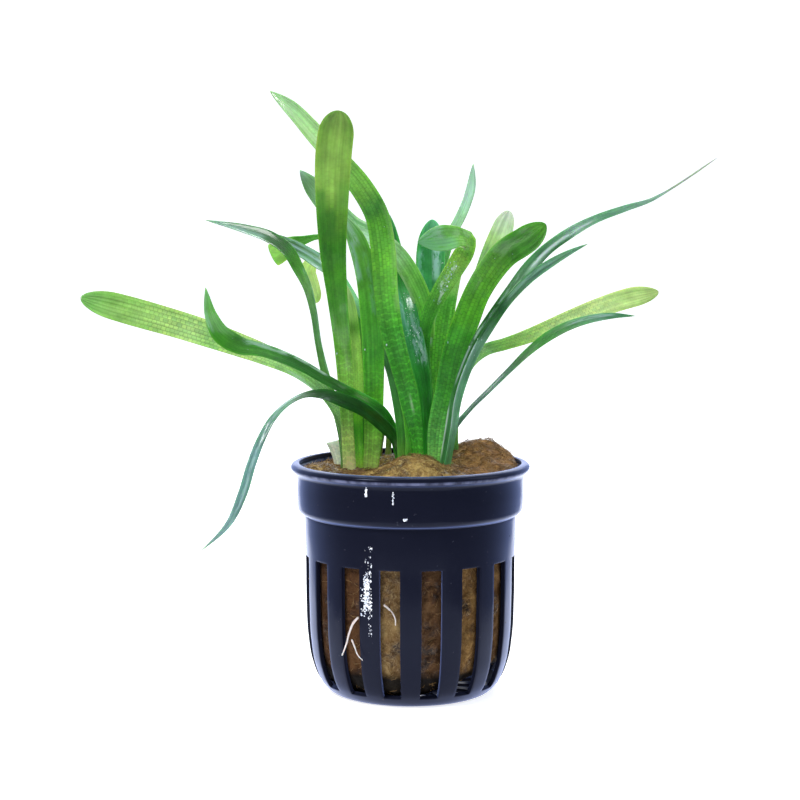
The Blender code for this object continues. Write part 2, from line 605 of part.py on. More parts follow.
def make_stub(material):
    """A slanted block: what is left of a leaf that was cut off."""
    foot = Vector(STUB_FOOT)
    top = Vector(STUB_TOP)
    half = Vector((STUB_WIDTH / 2, 0.0, 0.0))
    back = Vector((0.0, STUB_THICKNESS / 2, 0.0))
    build = bmesh.new()
    rings = []
    for middle in (foot, top):
        corners = (middle - half - back, middle + half - back, middle + half + back, middle - half + back)
        rings.append([build.verts.new(corner) for corner in corners])
    bridge_rings(build, rings[0], rings[1])
    build.faces.new(rings[0])
    build.faces.new(rings[1])
    return add_object("leaf_stub", build, material)


def main():
    clear_scene()
    pot_plastic = make_material("pot_plastic", (0.010, 0.011, 0.020), 0.32)
    mineral_wool = make_material("mineral_wool", (0.30, 0.17, 0.06), 0.85)
    crown_tissue = make_material("crown_tissue", (0.42, 0.45, 0.16), 0.5)
    leaf_green = make_material("leaf_green", (0.08, 0.30, 0.04), 0.35)
    leaf_pale = make_material("leaf_pale", (0.30, 0.55, 0.12), 0.35)
    leaf_dark = make_material("leaf_dark", (0.03, 0.14, 0.04), 0.35)
    root_white = make_material("root_white", (0.75, 0.62, 0.55), 0.5)

    make_pot(pot_plastic)
    wool = make_wool(mineral_wool)
    for name, place in CROWNS.items():
        make_crown(name, place, crown_tissue)
        cut_pocket(wool, name, place, mineral_wool)

    pale = ("leaf_pale_left", "leaf_hanging_tip", "leaf_pale_middle", "leaf_pale_tip",
            "leaf_pale_right", "leaf_between")
    dark = ("leaf_arch_left", "leaf_crossing", "leaf_glossy", "leaf_hooked", "leaf_drooping",
            "leaf_dark_back", "leaf_low_right", "leaf_inner_right")
    for name, (tip_length, stations) in LEAVES.items():
        material = leaf_pale if name in pale else leaf_dark if name in dark else leaf_green
        make_leaf(name, tip_length, stations, material)
    make_stub(leaf_pale)
    for name, (radius, stations) in STEMS.items():
        make_rod(name, radius, stations, crown_tissue)
    for name, (radius, stations) in ROOTS.items():
        make_rod(name, radius, stations, root_white)


main()
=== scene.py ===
import math

import bmesh
import bpy
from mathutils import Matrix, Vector, noise


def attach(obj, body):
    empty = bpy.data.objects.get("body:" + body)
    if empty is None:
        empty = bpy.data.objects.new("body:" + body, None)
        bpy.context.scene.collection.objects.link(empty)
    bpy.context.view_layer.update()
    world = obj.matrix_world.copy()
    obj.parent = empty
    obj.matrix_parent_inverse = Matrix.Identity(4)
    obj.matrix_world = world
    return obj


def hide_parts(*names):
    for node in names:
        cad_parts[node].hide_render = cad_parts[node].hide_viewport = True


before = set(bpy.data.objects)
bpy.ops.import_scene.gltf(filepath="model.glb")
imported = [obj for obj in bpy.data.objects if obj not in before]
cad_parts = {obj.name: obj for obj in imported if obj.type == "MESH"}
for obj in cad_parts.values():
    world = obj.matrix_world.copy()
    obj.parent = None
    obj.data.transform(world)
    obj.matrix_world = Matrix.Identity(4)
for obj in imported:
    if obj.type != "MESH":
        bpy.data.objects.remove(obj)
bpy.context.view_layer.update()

MM = 0.001

# The camera and the studio.
# The photograph was taken from just above the rim, a little left of the pot's middle, against a
# white sweep that lights the leaves from behind.
CAMERA_PLACE = (-2.40, -435.0, 110.5)
CAMERA_PITCH_DOWN = 5.6
CAMERA_FOCAL_PIXELS = 1884.0
IMAGE_SIZE = 800.0
SENSOR_WIDTH = 36.0

camera_data = bpy.data.cameras.new("camera")
camera_data.sensor_width = SENSOR_WIDTH
camera_data.sensor_fit = "HORIZONTAL"
camera_data.lens = CAMERA_FOCAL_PIXELS * SENSOR_WIDTH / IMAGE_SIZE
camera_data.clip_start = 0.01
camera = bpy.data.objects.new("camera", camera_data)
camera.location = [value * MM for value in CAMERA_PLACE]
camera.rotation_euler = (math.radians(90.0 - CAMERA_PITCH_DOWN), 0.0, 0.0)
bpy.context.scene.collection.objects.link(camera)
bpy.context.scene.camera = camera
bpy.context.scene.view_settings.view_transform = "Standard"

world = bpy.data.worlds.new("studio")
world.use_nodes = True
world.node_tree.nodes["Background"].inputs["Color"].default_value = (0.70, 0.80, 1.0, 1.0)
world.node_tree.nodes["Background"].inputs["Strength"].default_value = 0.36
bpy.context.scene.world = world


def new_material(name, **values):
    """A material whose Principled BSDF has the given values set on its own sockets."""
    material = bpy.data.materials.new(name)
    material.use_nodes = True
    shader = material.node_tree.nodes["Principled BSDF"]
    for socket, value in values.items():
        shader.inputs[socket.replace("_", " ")].default_value = value
    return material, material.node_tree, shader


def area_light(name, place, aim, size, power, colour=(1.0, 1.0, 1.0)):
    light_data = bpy.data.lights.new(name, "AREA")
    light_data.shape = "RECTANGLE"
    light_data.size = size[0]
    light_data.size_y = size[1]
    light_data.energy = power
    light_data.color = colour
    light = bpy.data.objects.new(name, light_data)
    light.location = place
    light.rotation_euler = (Vector(aim) - Vector(place)).to_track_quat("-Z", "Y").to_euler()
    bpy.context.scene.collection.objects.link(light)


area_light("key", (-0.40, -0.33, 0.55), (0.0, 0.0, 0.08), (0.16, 0.22), 3.0)
area_light("fill", (0.55, -0.10, 0.35), (0.0, 0.0, 0.08), (0.30, 0.5), 1.2, (0.82, 0.88, 1.0))
area_light("top", (0.0, 0.12, 0.62), (0.0, 0.0, 0.05), (0.5, 0.4), 2.4, (0.90, 0.95, 1.0))
area_light("back", (0.0, 0.50, 0.50), (0.0, 0.0, 0.09), (0.8, 0.5), 2.5)

# The floor runs back and up in one sweep, so that no edge shows behind the plant.
SWEEP_NEAR_WIDTH = 0.074
SWEEP_SPREAD = 0.219
SWEEP_FRONT = -0.13
SWEEP_BACK = 1.1
SWEEP_RADIUS = 0.7
SWEEP_TOP = 1.6

sweep_outline = [(SWEEP_FRONT, 0.0)]
for turn in range(25):
    angle = math.radians(90.0 * turn / 24)
    depth = SWEEP_BACK + SWEEP_RADIUS * math.sin(angle)
    sweep_outline.append((depth, SWEEP_RADIUS * (1.0 - math.cos(angle))))
sweep_outline.append((SWEEP_BACK + SWEEP_RADIUS, SWEEP_TOP))
sweep_build = bmesh.new()
sweep_pairs = []
for depth, height in sweep_outline:
    half_width = SWEEP_NEAR_WIDTH + SWEEP_SPREAD * (depth - SWEEP_FRONT)
    left = sweep_build.verts.new((-half_width, depth, height))
    right = sweep_build.verts.new((half_width, depth, height))
    sweep_pairs.append((left, right))
for near, far in zip(sweep_pairs, sweep_pairs[1:]):
    sweep_build.faces.new((near[0], near[1], far[1], far[0])).smooth = True
sweep_mesh = bpy.data.meshes.new("sweep")
sweep_build.to_mesh(sweep_mesh)
sweep_build.free()
sweep = bpy.data.objects.new("sweep", sweep_mesh)
bpy.context.scene.collection.objects.link(sweep)
sweep_finish, _, _ = new_material("sweep_paper", Base_Color=(0.93, 0.93, 0.93, 1.0), Roughness=0.9,
                                  Specular_IOR_Level=0.1, Emission_Color=(1.0, 1.0, 1.0, 1.0),
                                  Emission_Strength=0.72)
sweep_mesh.materials.append(sweep_finish)

# The net pot.
# One moulding of black polypropylene: a thin wall turned out into a lip at the rim, a wider collar
# and sixteen upright slots. The outline is spun round, the slots are left out and the wall is thickened.
SLOTS = 16
COLUMNS_A_SLOT = 12
POT_ROWS = 190
POT_WALL = 1.0
SLOT_BOTTOM = 2.4
SLOT_TOP = 32.0
HUB_RADIUS = 7.5
FLOOR_SLOT_END = 16.0
POT_OUTLINE = [
    (0.0, 0.0), (HUB_RADIUS, 0.0), (FLOOR_SLOT_END, 0.0), (18.4, 0.1), (20.9, SLOT_BOTTOM), (22.9, 7.0),
    (23.9, 13.0), (24.3, 22.0), (24.4, SLOT_TOP), (24.55, 36.5), (24.6, 41.0), (24.62, 41.6), (25.0, 41.8),
    (25.6, 42.05), (26.08, 42.6), (26.24, 43.7), (26.32, 45.6), (26.42, 50.2), (26.5, 50.8), (26.85, 51.25),
    (27.4, 51.6), (27.75, 52.1), (27.8, 52.6), (27.5, 53.1), (26.9, 53.42), (26.2, 53.5), (25.85, 53.4),
]
# Heights in metres at which the gleam on the lip fades in from below and from above
LIP_GLEAM_FOOT = (0.0515, 0.0519)
LIP_GLEAM_TOP = (0.0525, 0.0521)


def put(tree, kind, inputs=None, **settings):
    """Add a node. An input is a value or another node's output socket."""
    made = tree.nodes.new(kind)
    for name, value in settings.items():
        setattr(made, name, value)
    for name, value in (inputs or {}).items():
        if isinstance(value, bpy.types.NodeSocket):
            tree.links.new(value, made.inputs[name])
        else:
            made.inputs[name].default_value = value
    return made


def maths(tree, operation, first, second=0.0, third=0.0):
    made = put(tree, "ShaderNodeMath", {0: first, 1: second, 2: third}, operation=operation)
    return made.outputs[0]


def remap(tree, value, low, high, start=0.0, end=1.0, soft=False):
    """Stretch the span from low to high over start to end."""
    made = put(tree, "ShaderNodeMapRange", {
        "Value": value, "From Min": low, "From Max": high, "To Min": start, "To Max": end})
    made.interpolation_type = "SMOOTHSTEP" if soft else "LINEAR"
    return made.outputs[0]


def cloud_noise(tree, vector, scale, detail=2.0, roughness=0.5):
    made = put(tree, "ShaderNodeTexNoise", {
        "Vector": vector, "Scale": scale, "Detail": detail, "Roughness": roughness})
    return made.outputs["Fac"]


def blended(tree, share, first, second, way="MIX"):
    """Mix two colours; a colour is another node's socket or three numbers."""
    sides = {"Factor": share}
    for side, colour in (("A", first), ("B", second)):
        sides[side] = colour if isinstance(colour, bpy.types.NodeSocket) else (*colour, 1.0)
    return put(tree, "ShaderNodeMix", sides, data_type="RGBA", blend_type=way).outputs["Result"]


def slope(values, lengths, index):
    """Rate of change at a station, weighted by the spans on both sides of it."""
    last = len(values) - 1
    before = max(index - 1, 0)
    after = min(index + 1, last)
    if before == index or after == index:
        return (values[after] - values[before]) / (lengths[after] - lengths[before])
    span_before = lengths[index] - lengths[before]
    span_after = lengths[after] - lengths[index]
    rate_before = (values[index] - values[before]) / span_before
    rate_after = (values[after] - values[index]) / span_after
    return (rate_before * span_after + rate_after * span_before) / (span_before + span_after)


class SmoothPath:
    """A smooth curve through stations whose first three values are x, y and z."""

    def __init__(self, stations):
        self.columns = list(zip(*stations))
        self.lengths = [0.0]
        for here, after in zip(stations, stations[1:]):
            chord = (Vector(after[:3]) - Vector(here[:3])).length
            self.lengths.append(self.lengths[-1] + chord)
        self.length = self.lengths[-1]
        self.slopes = []
        for values in self.columns:
            self.slopes.append([slope(values, self.lengths, index) for index in range(len(values))])

    def at(self, distance):
        """All the values of the curve at a distance from its start."""
        distance = min(max(distance, 0.0), self.length)
        index = 0
        while index < len(self.lengths) - 2 and distance > self.lengths[index + 1]:
            index += 1
        span = self.lengths[index + 1] - self.lengths[index]
        part = (distance - self.lengths[index]) / span
        square = part * part
        cube = square * part
        weights = (2 * cube - 3 * square + 1, cube - 2 * square + part, 3 * square - 2 * cube, cube - square)
        result = []
        for values, slopes in zip(self.columns, self.slopes):
            result.append(weights[0] * values[index] + weights[1] * slopes[index] * span
                          + weights[2] * values[index + 1] + weights[3] * slopes[index + 1] * span)
        return result

    def frame(self, distance):
        """Point, direction, the way across that faces the front, and the other values."""
        reach = 0.2
        here = self.at(distance)
        ahead = Vector(self.at(distance + reach)[:3])
        behind = Vector(self.at(distance - reach)[:3])
        tangent = (ahead - behind).normalized()
        across = Vector((0.0, 1.0, 0.0)).cross(tangent).normalized()
        return Vector(here[:3]), tangent, across, here[3:]


def net_pot_tree():
    """Spins the outline round, leaves the slots out and closes the seam."""
    tree = bpy.data.node_groups.new("net_pot", "GeometryNodeTree")
    face = tree.interface
    face.new_socket("Outline", in_out="INPUT", socket_type="NodeSocketGeometry")
    for name in ("Slots", "Columns a slot", "Rows"):
        face.new_socket(name, in_out="INPUT", socket_type="NodeSocketInt")
    for name in ("Slot bottom", "Slot top", "Floor slot start", "Floor slot end"):
        face.new_socket(name, in_out="INPUT", socket_type="NodeSocketFloat")
    face.new_socket("Finish", in_out="INPUT", socket_type="NodeSocketMaterial")
    face.new_socket("Pot", in_out="OUTPUT", socket_type="NodeSocketGeometry")
    given = tree.nodes.new("NodeGroupInput").outputs
    columns = maths(tree, "MULTIPLY", given["Slots"], given["Columns a slot"])
    grid = put(tree, "GeometryNodeMeshGrid", {
        "Size X": 1.0, "Size Y": 1.0, "Vertices X": maths(tree, "ADD", columns, 1.0),
        "Vertices Y": given["Rows"]})
    flat = put(tree, "ShaderNodeSeparateXYZ", {0: tree.nodes.new("GeometryNodeInputPosition").outputs[0]})
    round_part = maths(tree, "ADD", flat.outputs["X"], 0.5)
    along_part = maths(tree, "ADD", flat.outputs["Y"], 0.5)
    sample = put(tree, "GeometryNodeSampleCurve", {"Curves": given["Outline"], "Factor": along_part},
                 mode="FACTOR")
    profile = put(tree, "ShaderNodeSeparateXYZ", {0: sample.outputs["Position"]})
    radius = profile.outputs["X"]
    height = profile.outputs["Z"]

    step = maths(tree, "MODULO", maths(tree, "MULTIPLY", round_part, columns), given["Columns a slot"])
    quarter = maths(tree, "DIVIDE", given["Columns a slot"], 4.0)
    in_slot = maths(tree, "MULTIPLY", maths(tree, "GREATER_THAN", step, quarter),
                    maths(tree, "LESS_THAN", step, maths(tree, "MULTIPLY", quarter, 3.0)))
    on_wall = maths(tree, "MULTIPLY", maths(tree, "GREATER_THAN", height, given["Slot bottom"]),
                    maths(tree, "LESS_THAN", height, given["Slot top"]))
    on_floor = maths(tree, "MULTIPLY", maths(tree, "GREATER_THAN", radius, given["Floor slot start"]),
                     maths(tree, "LESS_THAN", radius, given["Floor slot end"]))
    gone = maths(tree, "MULTIPLY", in_slot, maths(tree, "ADD", on_wall, on_floor))
    cut = put(tree, "GeometryNodeDeleteGeometry", {"Geometry": grid.outputs["Mesh"], "Selection": gone},
              domain="FACE", mode="ALL")
    angle = maths(tree, "MULTIPLY", round_part, math.tau)
    place = put(tree, "ShaderNodeCombineXYZ", {
        "X": maths(tree, "MULTIPLY", radius, maths(tree, "SINE", angle)),
        "Y": maths(tree, "MULTIPLY", maths(tree, "MULTIPLY", radius, maths(tree, "COSINE", angle)), -1.0),
        "Z": height})
    spun = put(tree, "GeometryNodeSetPosition", {"Geometry": cut.outputs[0], "Position": place.outputs[0]})
    closed = put(tree, "GeometryNodeMergeByDistance", {"Geometry": spun.outputs[0], "Distance": 0.00001})
    whole = put(tree, "GeometryNodeRealizeInstances", {"Geometry": closed.outputs[0]})
    done = put(tree, "GeometryNodeSetMaterial", {"Geometry": whole.outputs[0], "Material": given["Finish"]})
    tree.links.new(done.outputs[0], tree.nodes.new("NodeGroupOutput").inputs[0])
    return tree


def run_tree(source, tree, name, **values):
    """Evaluate a tree on a source object and keep the result as a plain mesh at the origin."""
    change = source.modifiers.new("grow", "NODES")
    change.node_group = tree
    for item in tree.interface.items_tree:
        if item.item_type == "SOCKET" and item.in_out == "INPUT":
            key = item.name.replace(" ", "_")
            if key in values:
                change[item.identifier] = values[key]
    bpy.context.view_layer.update()
    evaluated = source.evaluated_get(bpy.context.evaluated_depsgraph_get())
    mesh = bpy.data.meshes.new_from_object(evaluated)
    source.modifiers.remove(change)
    mesh.name = name
    made = bpy.data.objects.new(name, mesh)
    bpy.context.scene.collection.objects.link(made)
    return made


def bake_modifiers(piece):
    """Keep the shape that the piece's modifiers give, and take them off."""
    bpy.context.view_layer.update()
    evaluated = piece.evaluated_get(bpy.context.evaluated_depsgraph_get())
    mesh = bpy.data.meshes.new_from_object(evaluated)
    piece.modifiers.clear()
    old = piece.data
    piece.data = mesh
    bpy.data.meshes.remove(old)


def wet_specks_group():
    """Where water lies on a surface: a broken film, and small beads that stand up."""
    tree = bpy.data.node_groups.new("wet_specks", "ShaderNodeTree")
    face = tree.interface
    face.new_socket("Vector", in_out="INPUT", socket_type="NodeSocketVector")
    for name, value in (("Film scale", 90.0), ("Film share", 0.5), ("Bead scale", 900.0),
                        ("Bead share", 0.3)):
        face.new_socket(name, in_out="INPUT", socket_type="NodeSocketFloat").default_value = value
    face.new_socket("Film", in_out="OUTPUT", socket_type="NodeSocketFloat")
    face.new_socket("Beads", in_out="OUTPUT", socket_type="NodeSocketFloat")
    given = tree.nodes.new("NodeGroupInput").outputs
    cloud = cloud_noise(tree, given["Vector"], given["Film scale"], 4.0, 0.55)
    edge = maths(tree, "SUBTRACT", 1.0, given["Film share"])
    film = remap(tree, cloud, edge, maths(tree, "ADD", edge, 0.08), soft=True)
    cells = put(tree, "ShaderNodeTexVoronoi", {"Vector": given["Vector"], "Scale": given["Bead scale"],
                                               "Randomness": 1.0})
    bead = remap(tree, cells.outputs["Distance"], 0.32, 0.0, soft=True)
    chosen = maths(tree, "LESS_THAN", put(
        tree, "ShaderNodeSeparateColor", {0: cells.outputs["Color"]}).outputs[0], given["Bead share"])
    beads = maths(tree, "MULTIPLY", maths(tree, "MULTIPLY", bead, chosen), film)
    out = tree.nodes.new("NodeGroupOutput")
    tree.links.new(film, out.inputs["Film"])
    tree.links.new(beads, out.inputs["Beads"])
    return tree


wet_specks = wet_specks_group()


def black_plastic():
    """Black plastic: a painted blue reflection at glancing angles, a painted gleam along the lip, water
    marks and a few dust specks.
    """
    material, tree, shader = new_material("black_plastic", Roughness=0.2, Specular_IOR_Level=0.12,
                                          Specular_Tint=(0.66, 0.74, 1.0, 1.0))
    where = put(tree, "ShaderNodeTexCoord").outputs["Object"]
    rub = cloud_noise(tree, where, 160.0, 6.0, 0.6)
    stretched = put(tree, "ShaderNodeMapping", {"Vector": where, "Scale": (1.0, 1.0, 0.22)}).outputs[0]
    wet = put(tree, "ShaderNodeGroup", {"Vector": stretched, "Film scale": 210.0, "Film share": 0.42,
                                        "Bead scale": 1300.0, "Bead share": 0.25}, node_tree=wet_specks)
    dull = remap(tree, rub, 0.3, 0.7, 0.14, 0.26)
    rough = put(tree, "ShaderNodeMix", {"Factor": wet.outputs["Film"], "A": dull, "B": 0.09})
    tree.links.new(rough.outputs[0], shader.inputs["Roughness"])
    # Painted reflection: the base colour turns pale blue where the wall is seen at a glancing angle.
    glance = put(tree, "ShaderNodeLayerWeight", {"Blend": 0.5}).outputs["Facing"]
    painted_glancing_reflection = blended(tree, maths(tree, "POWER", glance, 4.0), (0.0085, 0.0095, 0.020), (0.34, 0.45, 0.95))
    dust = cloud_noise(tree, where, 900.0, 3.0)
    spots = remap(tree, dust, 0.70, 0.76)
    tint = blended(tree, spots, painted_glancing_reflection, (0.04, 0.04, 0.055))
    # Painted highlight: a broken lavender gleam painted into the base colour along the outer lip.
    height = put(tree, "ShaderNodeSeparateXYZ", {0: where}).outputs["Z"]
    on_lip = remap(tree, height, *LIP_GLEAM_FOOT, soft=True)
    off_lip = remap(tree, height, *LIP_GLEAM_TOP, soft=True)
    gleam = cloud_noise(tree, stretched, 420.0, 3.0)
    gleam = remap(tree, gleam, 0.36, 0.66, 0.12, 0.75)
    lip_share = maths(tree, "MULTIPLY", maths(tree, "MULTIPLY", on_lip, off_lip), gleam)
    coloured = blended(tree, lip_share, tint, (0.22, 0.24, 0.40))
    tree.links.new(coloured, shader.inputs["Base Color"])
    grain = cloud_noise(tree, where, 700.0, 2.0)
    lumps = maths(tree, "ADD", maths(tree, "MULTIPLY", grain, 0.08),
                  maths(tree, "MULTIPLY", wet.outputs["Beads"], 0.8))
    bump = put(tree, "ShaderNodeBump", {"Height": lumps, "Strength": 0.3, "Distance": 0.0002})
    tree.links.new(bump.outputs[0], shader.inputs["Normal"])
    return material


pot_path = SmoothPath([(radius, 0.0, height) for radius, height in POT_OUTLINE])
outline_curve = bpy.data.curves.new("pot_outline", "CURVE")
outline_curve.dimensions = "3D"
outline_spline = outline_curve.splines.new("POLY")
outline_spline.points.add(399)
for index, point in enumerate(outline_spline.points):
    spot = pot_path.at(pot_path.length * index / 399)
    point.co = (spot[0] * MM, 0.0, spot[2] * MM, 1.0)
pot_outline = bpy.data.objects.new("pot_outline", outline_curve)
bpy.context.scene.collection.objects.link(pot_outline)
pot = run_tree(pot_outline, net_pot_tree(), "net_pot", Slots=SLOTS, Columns_a_slot=COLUMNS_A_SLOT,
               Rows=POT_ROWS, Slot_bottom=SLOT_BOTTOM * MM, Slot_top=SLOT_TOP * MM,
               Floor_slot_start=HUB_RADIUS * MM, Floor_slot_end=FLOOR_SLOT_END * MM, Finish=black_plastic())
bpy.data.objects.remove(pot_outline)
wall = pot.modifiers.new("wall", "SOLIDIFY")
wall.thickness = POT_WALL * MM
wall.offset = -1.0
edges = pot.modifiers.new("edges", "BEVEL")
edges.width = 0.16 * MM
edges.segments = 2
edges.limit_method = "ANGLE"
edges.angle_limit = math.radians(50.0)
bake_modifiers(pot)
pot.data.shade_smooth()
pot.data.set_sharp_from_angle(angle=math.radians(40.0))
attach(pot, "root")
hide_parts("pot")

# The mineral wool.
# One plug of felted rock fibre, soaked brown, that fills the pot, swells a little into its slots and
# stands up in soft mounds between the crowns.
WOOL_COLUMNS = 256
WOOL_BASE_HEIGHT = 51.5
WOOL_MOUNDS = [
    (1.0, -9.5, 4.6, 8.5),
    (17.0, 7.0, 6.0, 8.5),
    (4.0, 12.0, 3.0, 8.0),
    (-20.0, -1.0, 1.2, 5.0),
    (-6.8, -5.0, -6.5, 2.3),
    (-5.2, 5.0, 2.4, 3.0),
]
WOOL_COLOURS = [(0.34, (0.022, 0.010, 0.004)), (0.49, (0.17, 0.092, 0.030)), (0.68, (0.34, 0.22, 0.085))]
# Stains in the slots from left to right, and how much light reaches the wool from its foot to its top
WOOL_STAINS = [
    (0.0, (0.26, 0.18, 0.15)), (0.29, (0.42, 0.30, 0.28)), (0.36, (1.0, 1.0, 1.0)),
    (0.48, (1.0, 1.0, 1.05)), (0.53, (0.46, 0.36, 0.36)), (0.67, (0.42, 0.33, 0.32)),
    (0.71, (0.86, 0.76, 0.60)), (0.83, (0.80, 0.70, 0.54)), (0.88, (0.40, 0.31, 0.24)),
    (1.0, (0.34, 0.26, 0.20)),
]
WOOL_LEVELS = [(0.0, 0.03), (0.112, 0.03), (0.144, 0.85), (0.55, 0.85), (0.68, 0.30), (0.755, 0.30),
               (0.81, 1.0), (1.0, 1.0)]
# In metres: where the mounds turn from straw to golden across, and from dry to soaked downwards
GOLDEN_SPAN = (0.008, 0.013)
SOAKED_SPAN = (0.044, 0.036)
WOOL_UNDERSIDE = 1.7
WOOL_UNDERSIDE_LIFT = 5.0


def wool_top(x, y):
    height = WOOL_BASE_HEIGHT
    for mound_x, mound_y, rise, spread in WOOL_MOUNDS:
        square = (x - mound_x) ** 2 + (y - mound_y) ** 2
        height += rise * math.exp(-square / spread ** 2)
    return height


def wool_underside(x):
    """The plug's underside rises towards the right, where light shows below it."""
    lift = min(max((x + 2.0) / 20.0, 0.0), 1.0)
    return WOOL_UNDERSIDE + WOOL_UNDERSIDE_LIFT * lift


def wall_radius(height):
    """Outside radius of the pot's wall at a height."""
    low = 0.0
    high = pot_path.length
    for _ in range(24):
        middle = 0.5 * (low + high)
        radius, _, level = pot_path.at(middle)
        if level < height or radius < FLOOR_SLOT_END:
            low = middle
        else:
            high = middle
    return pot_path.at(low)[0]


def slot_share(angle):
    """One in the middle of a slot and nothing behind the bars."""
    step = (angle / math.tau * SLOTS) % 1.0
    return min(max(1.0 - abs(2.0 * step - 1.0) * 1.7, 0.0), 1.0)


def felt(x, y, z, size, seed):
    return noise.fractal(Vector((x / size + seed, y / size, z / size)), 1.0, 2.1, 4)


def make_wool(finish):
    side_rows = 96
    top_rows = 60
    under_rows = 22
    radii = [wall_radius(3.0 + 45.0 * row / 200) for row in range(201)]
    build = bmesh.new()
    fuzz_layer = build.verts.layers.float.new("fuzz")
    pale_layer = build.verts.layers.float.new("pale")
    rings = []
    for row in range(1, under_rows + 1):
        share = row / under_rows
        rings.append(("under", share))
    for row in range(side_rows + 1):
        rings.append(("side", row / side_rows))
    for row in range(1, top_rows):
        rings.append(("top", 1.0 - row / top_rows))
    grid = []
    for part, share in rings:
        ring = []
        for column in range(WOOL_COLUMNS):
            angle = math.tau * column / WOOL_COLUMNS
            across = math.sin(angle)
            forward = -math.cos(angle)
            fuzz = 0.0
            pale = 0.0
            if part == "under":
                radius = 18.0 * share
                x = radius * across
                y = radius * forward
                z = wool_underside(x) + 0.5 * felt(x, y, 0.0, 5.0, 3.0)
            elif part == "side":
                low = wool_underside(20.0 * across)
                z = low + (50.5 - low) * share
                radius = radii[min(max(round((z - 3.0) / 45.0 * 200), 0), 200)] - POT_WALL - 0.25
                radius -= 2.2 * max(0.0, 1.0 - share / 0.09) ** 2
                swell = slot_share(angle) if SLOT_BOTTOM < z < SLOT_TOP else 0.0
                swell *= min(1.0, (SLOT_TOP - z) / 3.0)
                x = radius * across
                y = radius * forward
                lumps = felt(x, y, z * 1.5, 5.0, 1.0)
                creases = abs(felt(x, y, z * 1.7, 4.5, 9.0))
                crack = 3.2 * max(0.0, 0.24 - creases)
                radius += swell * (0.35 + 1.1 * lumps - crack) - 0.25 * (1.0 - swell)
                x = radius * across
                y = radius * forward
                fuzz = 0.10 * swell
            else:
                edge = radii[200] - POT_WALL - 0.25
                radius = edge * share
                x = radius * across
                y = radius * forward
                z = wool_top(x, y) + 0.55 * felt(x, y, 0.0, 5.0, 5.0) + 0.32 * felt(x, y, 0.0, 1.3, 2.0)
                fuzz = 1.0 - 0.75 * math.exp(-((x - 1.0) ** 2 + (y + 12.0) ** 2) / 90.0)
                pale = math.exp(-((x + 5.2) ** 2 + (y - 4.0) ** 2) / 7.0)
                pale += 0.6 * math.exp(-((x + 19.5) ** 2 + (y - 1.0) ** 2) / 22.0)
            vertex = build.verts.new((x * MM, y * MM, z * MM))
            vertex[fuzz_layer] = fuzz
            vertex[pale_layer] = pale
            ring.append(vertex)
        grid.append(ring)
    for lower, upper in zip(grid, grid[1:]):
        for column in range(WOOL_COLUMNS):
            after = (column + 1) % WOOL_COLUMNS
            build.faces.new((lower[column], lower[after], upper[after], upper[column])).smooth = True
    for ring, height, flip in ((grid[0], wool_underside(0.0), True), (grid[-1], wool_top(0.0, 0.0), False)):
        pole = build.verts.new((0.0, 0.0, height * MM))
        for column in range(WOOL_COLUMNS):
            after = (column + 1) % WOOL_COLUMNS
            corners = (ring[after], ring[column], pole) if flip else (ring[column], ring[after], pole)
            build.faces.new(corners).smooth = True
    mesh = bpy.data.meshes.new("wool_plug")
    build.to_mesh(mesh)
    build.free()
    mesh.materials.append(finish)
    made = bpy.data.objects.new("wool_plug", mesh)
    bpy.context.scene.collection.objects.link(made)
    return made


def colour_ramp(tree, place, stops, easing="LINEAR"):
    """Colours along a ramp, from (position, colour) stops in rising order."""
    ramp = put(tree, "ShaderNodeValToRGB", {"Fac": place})
    ramp.color_ramp.interpolation = easing
    while len(ramp.color_ramp.elements) < len(stops):
        ramp.color_ramp.elements.new(0.5)
    for element, (position, colour) in zip(ramp.color_ramp.elements, stops):
        element.position = position
        element.color = (*colour, 1.0)
    return ramp.outputs["Color"]


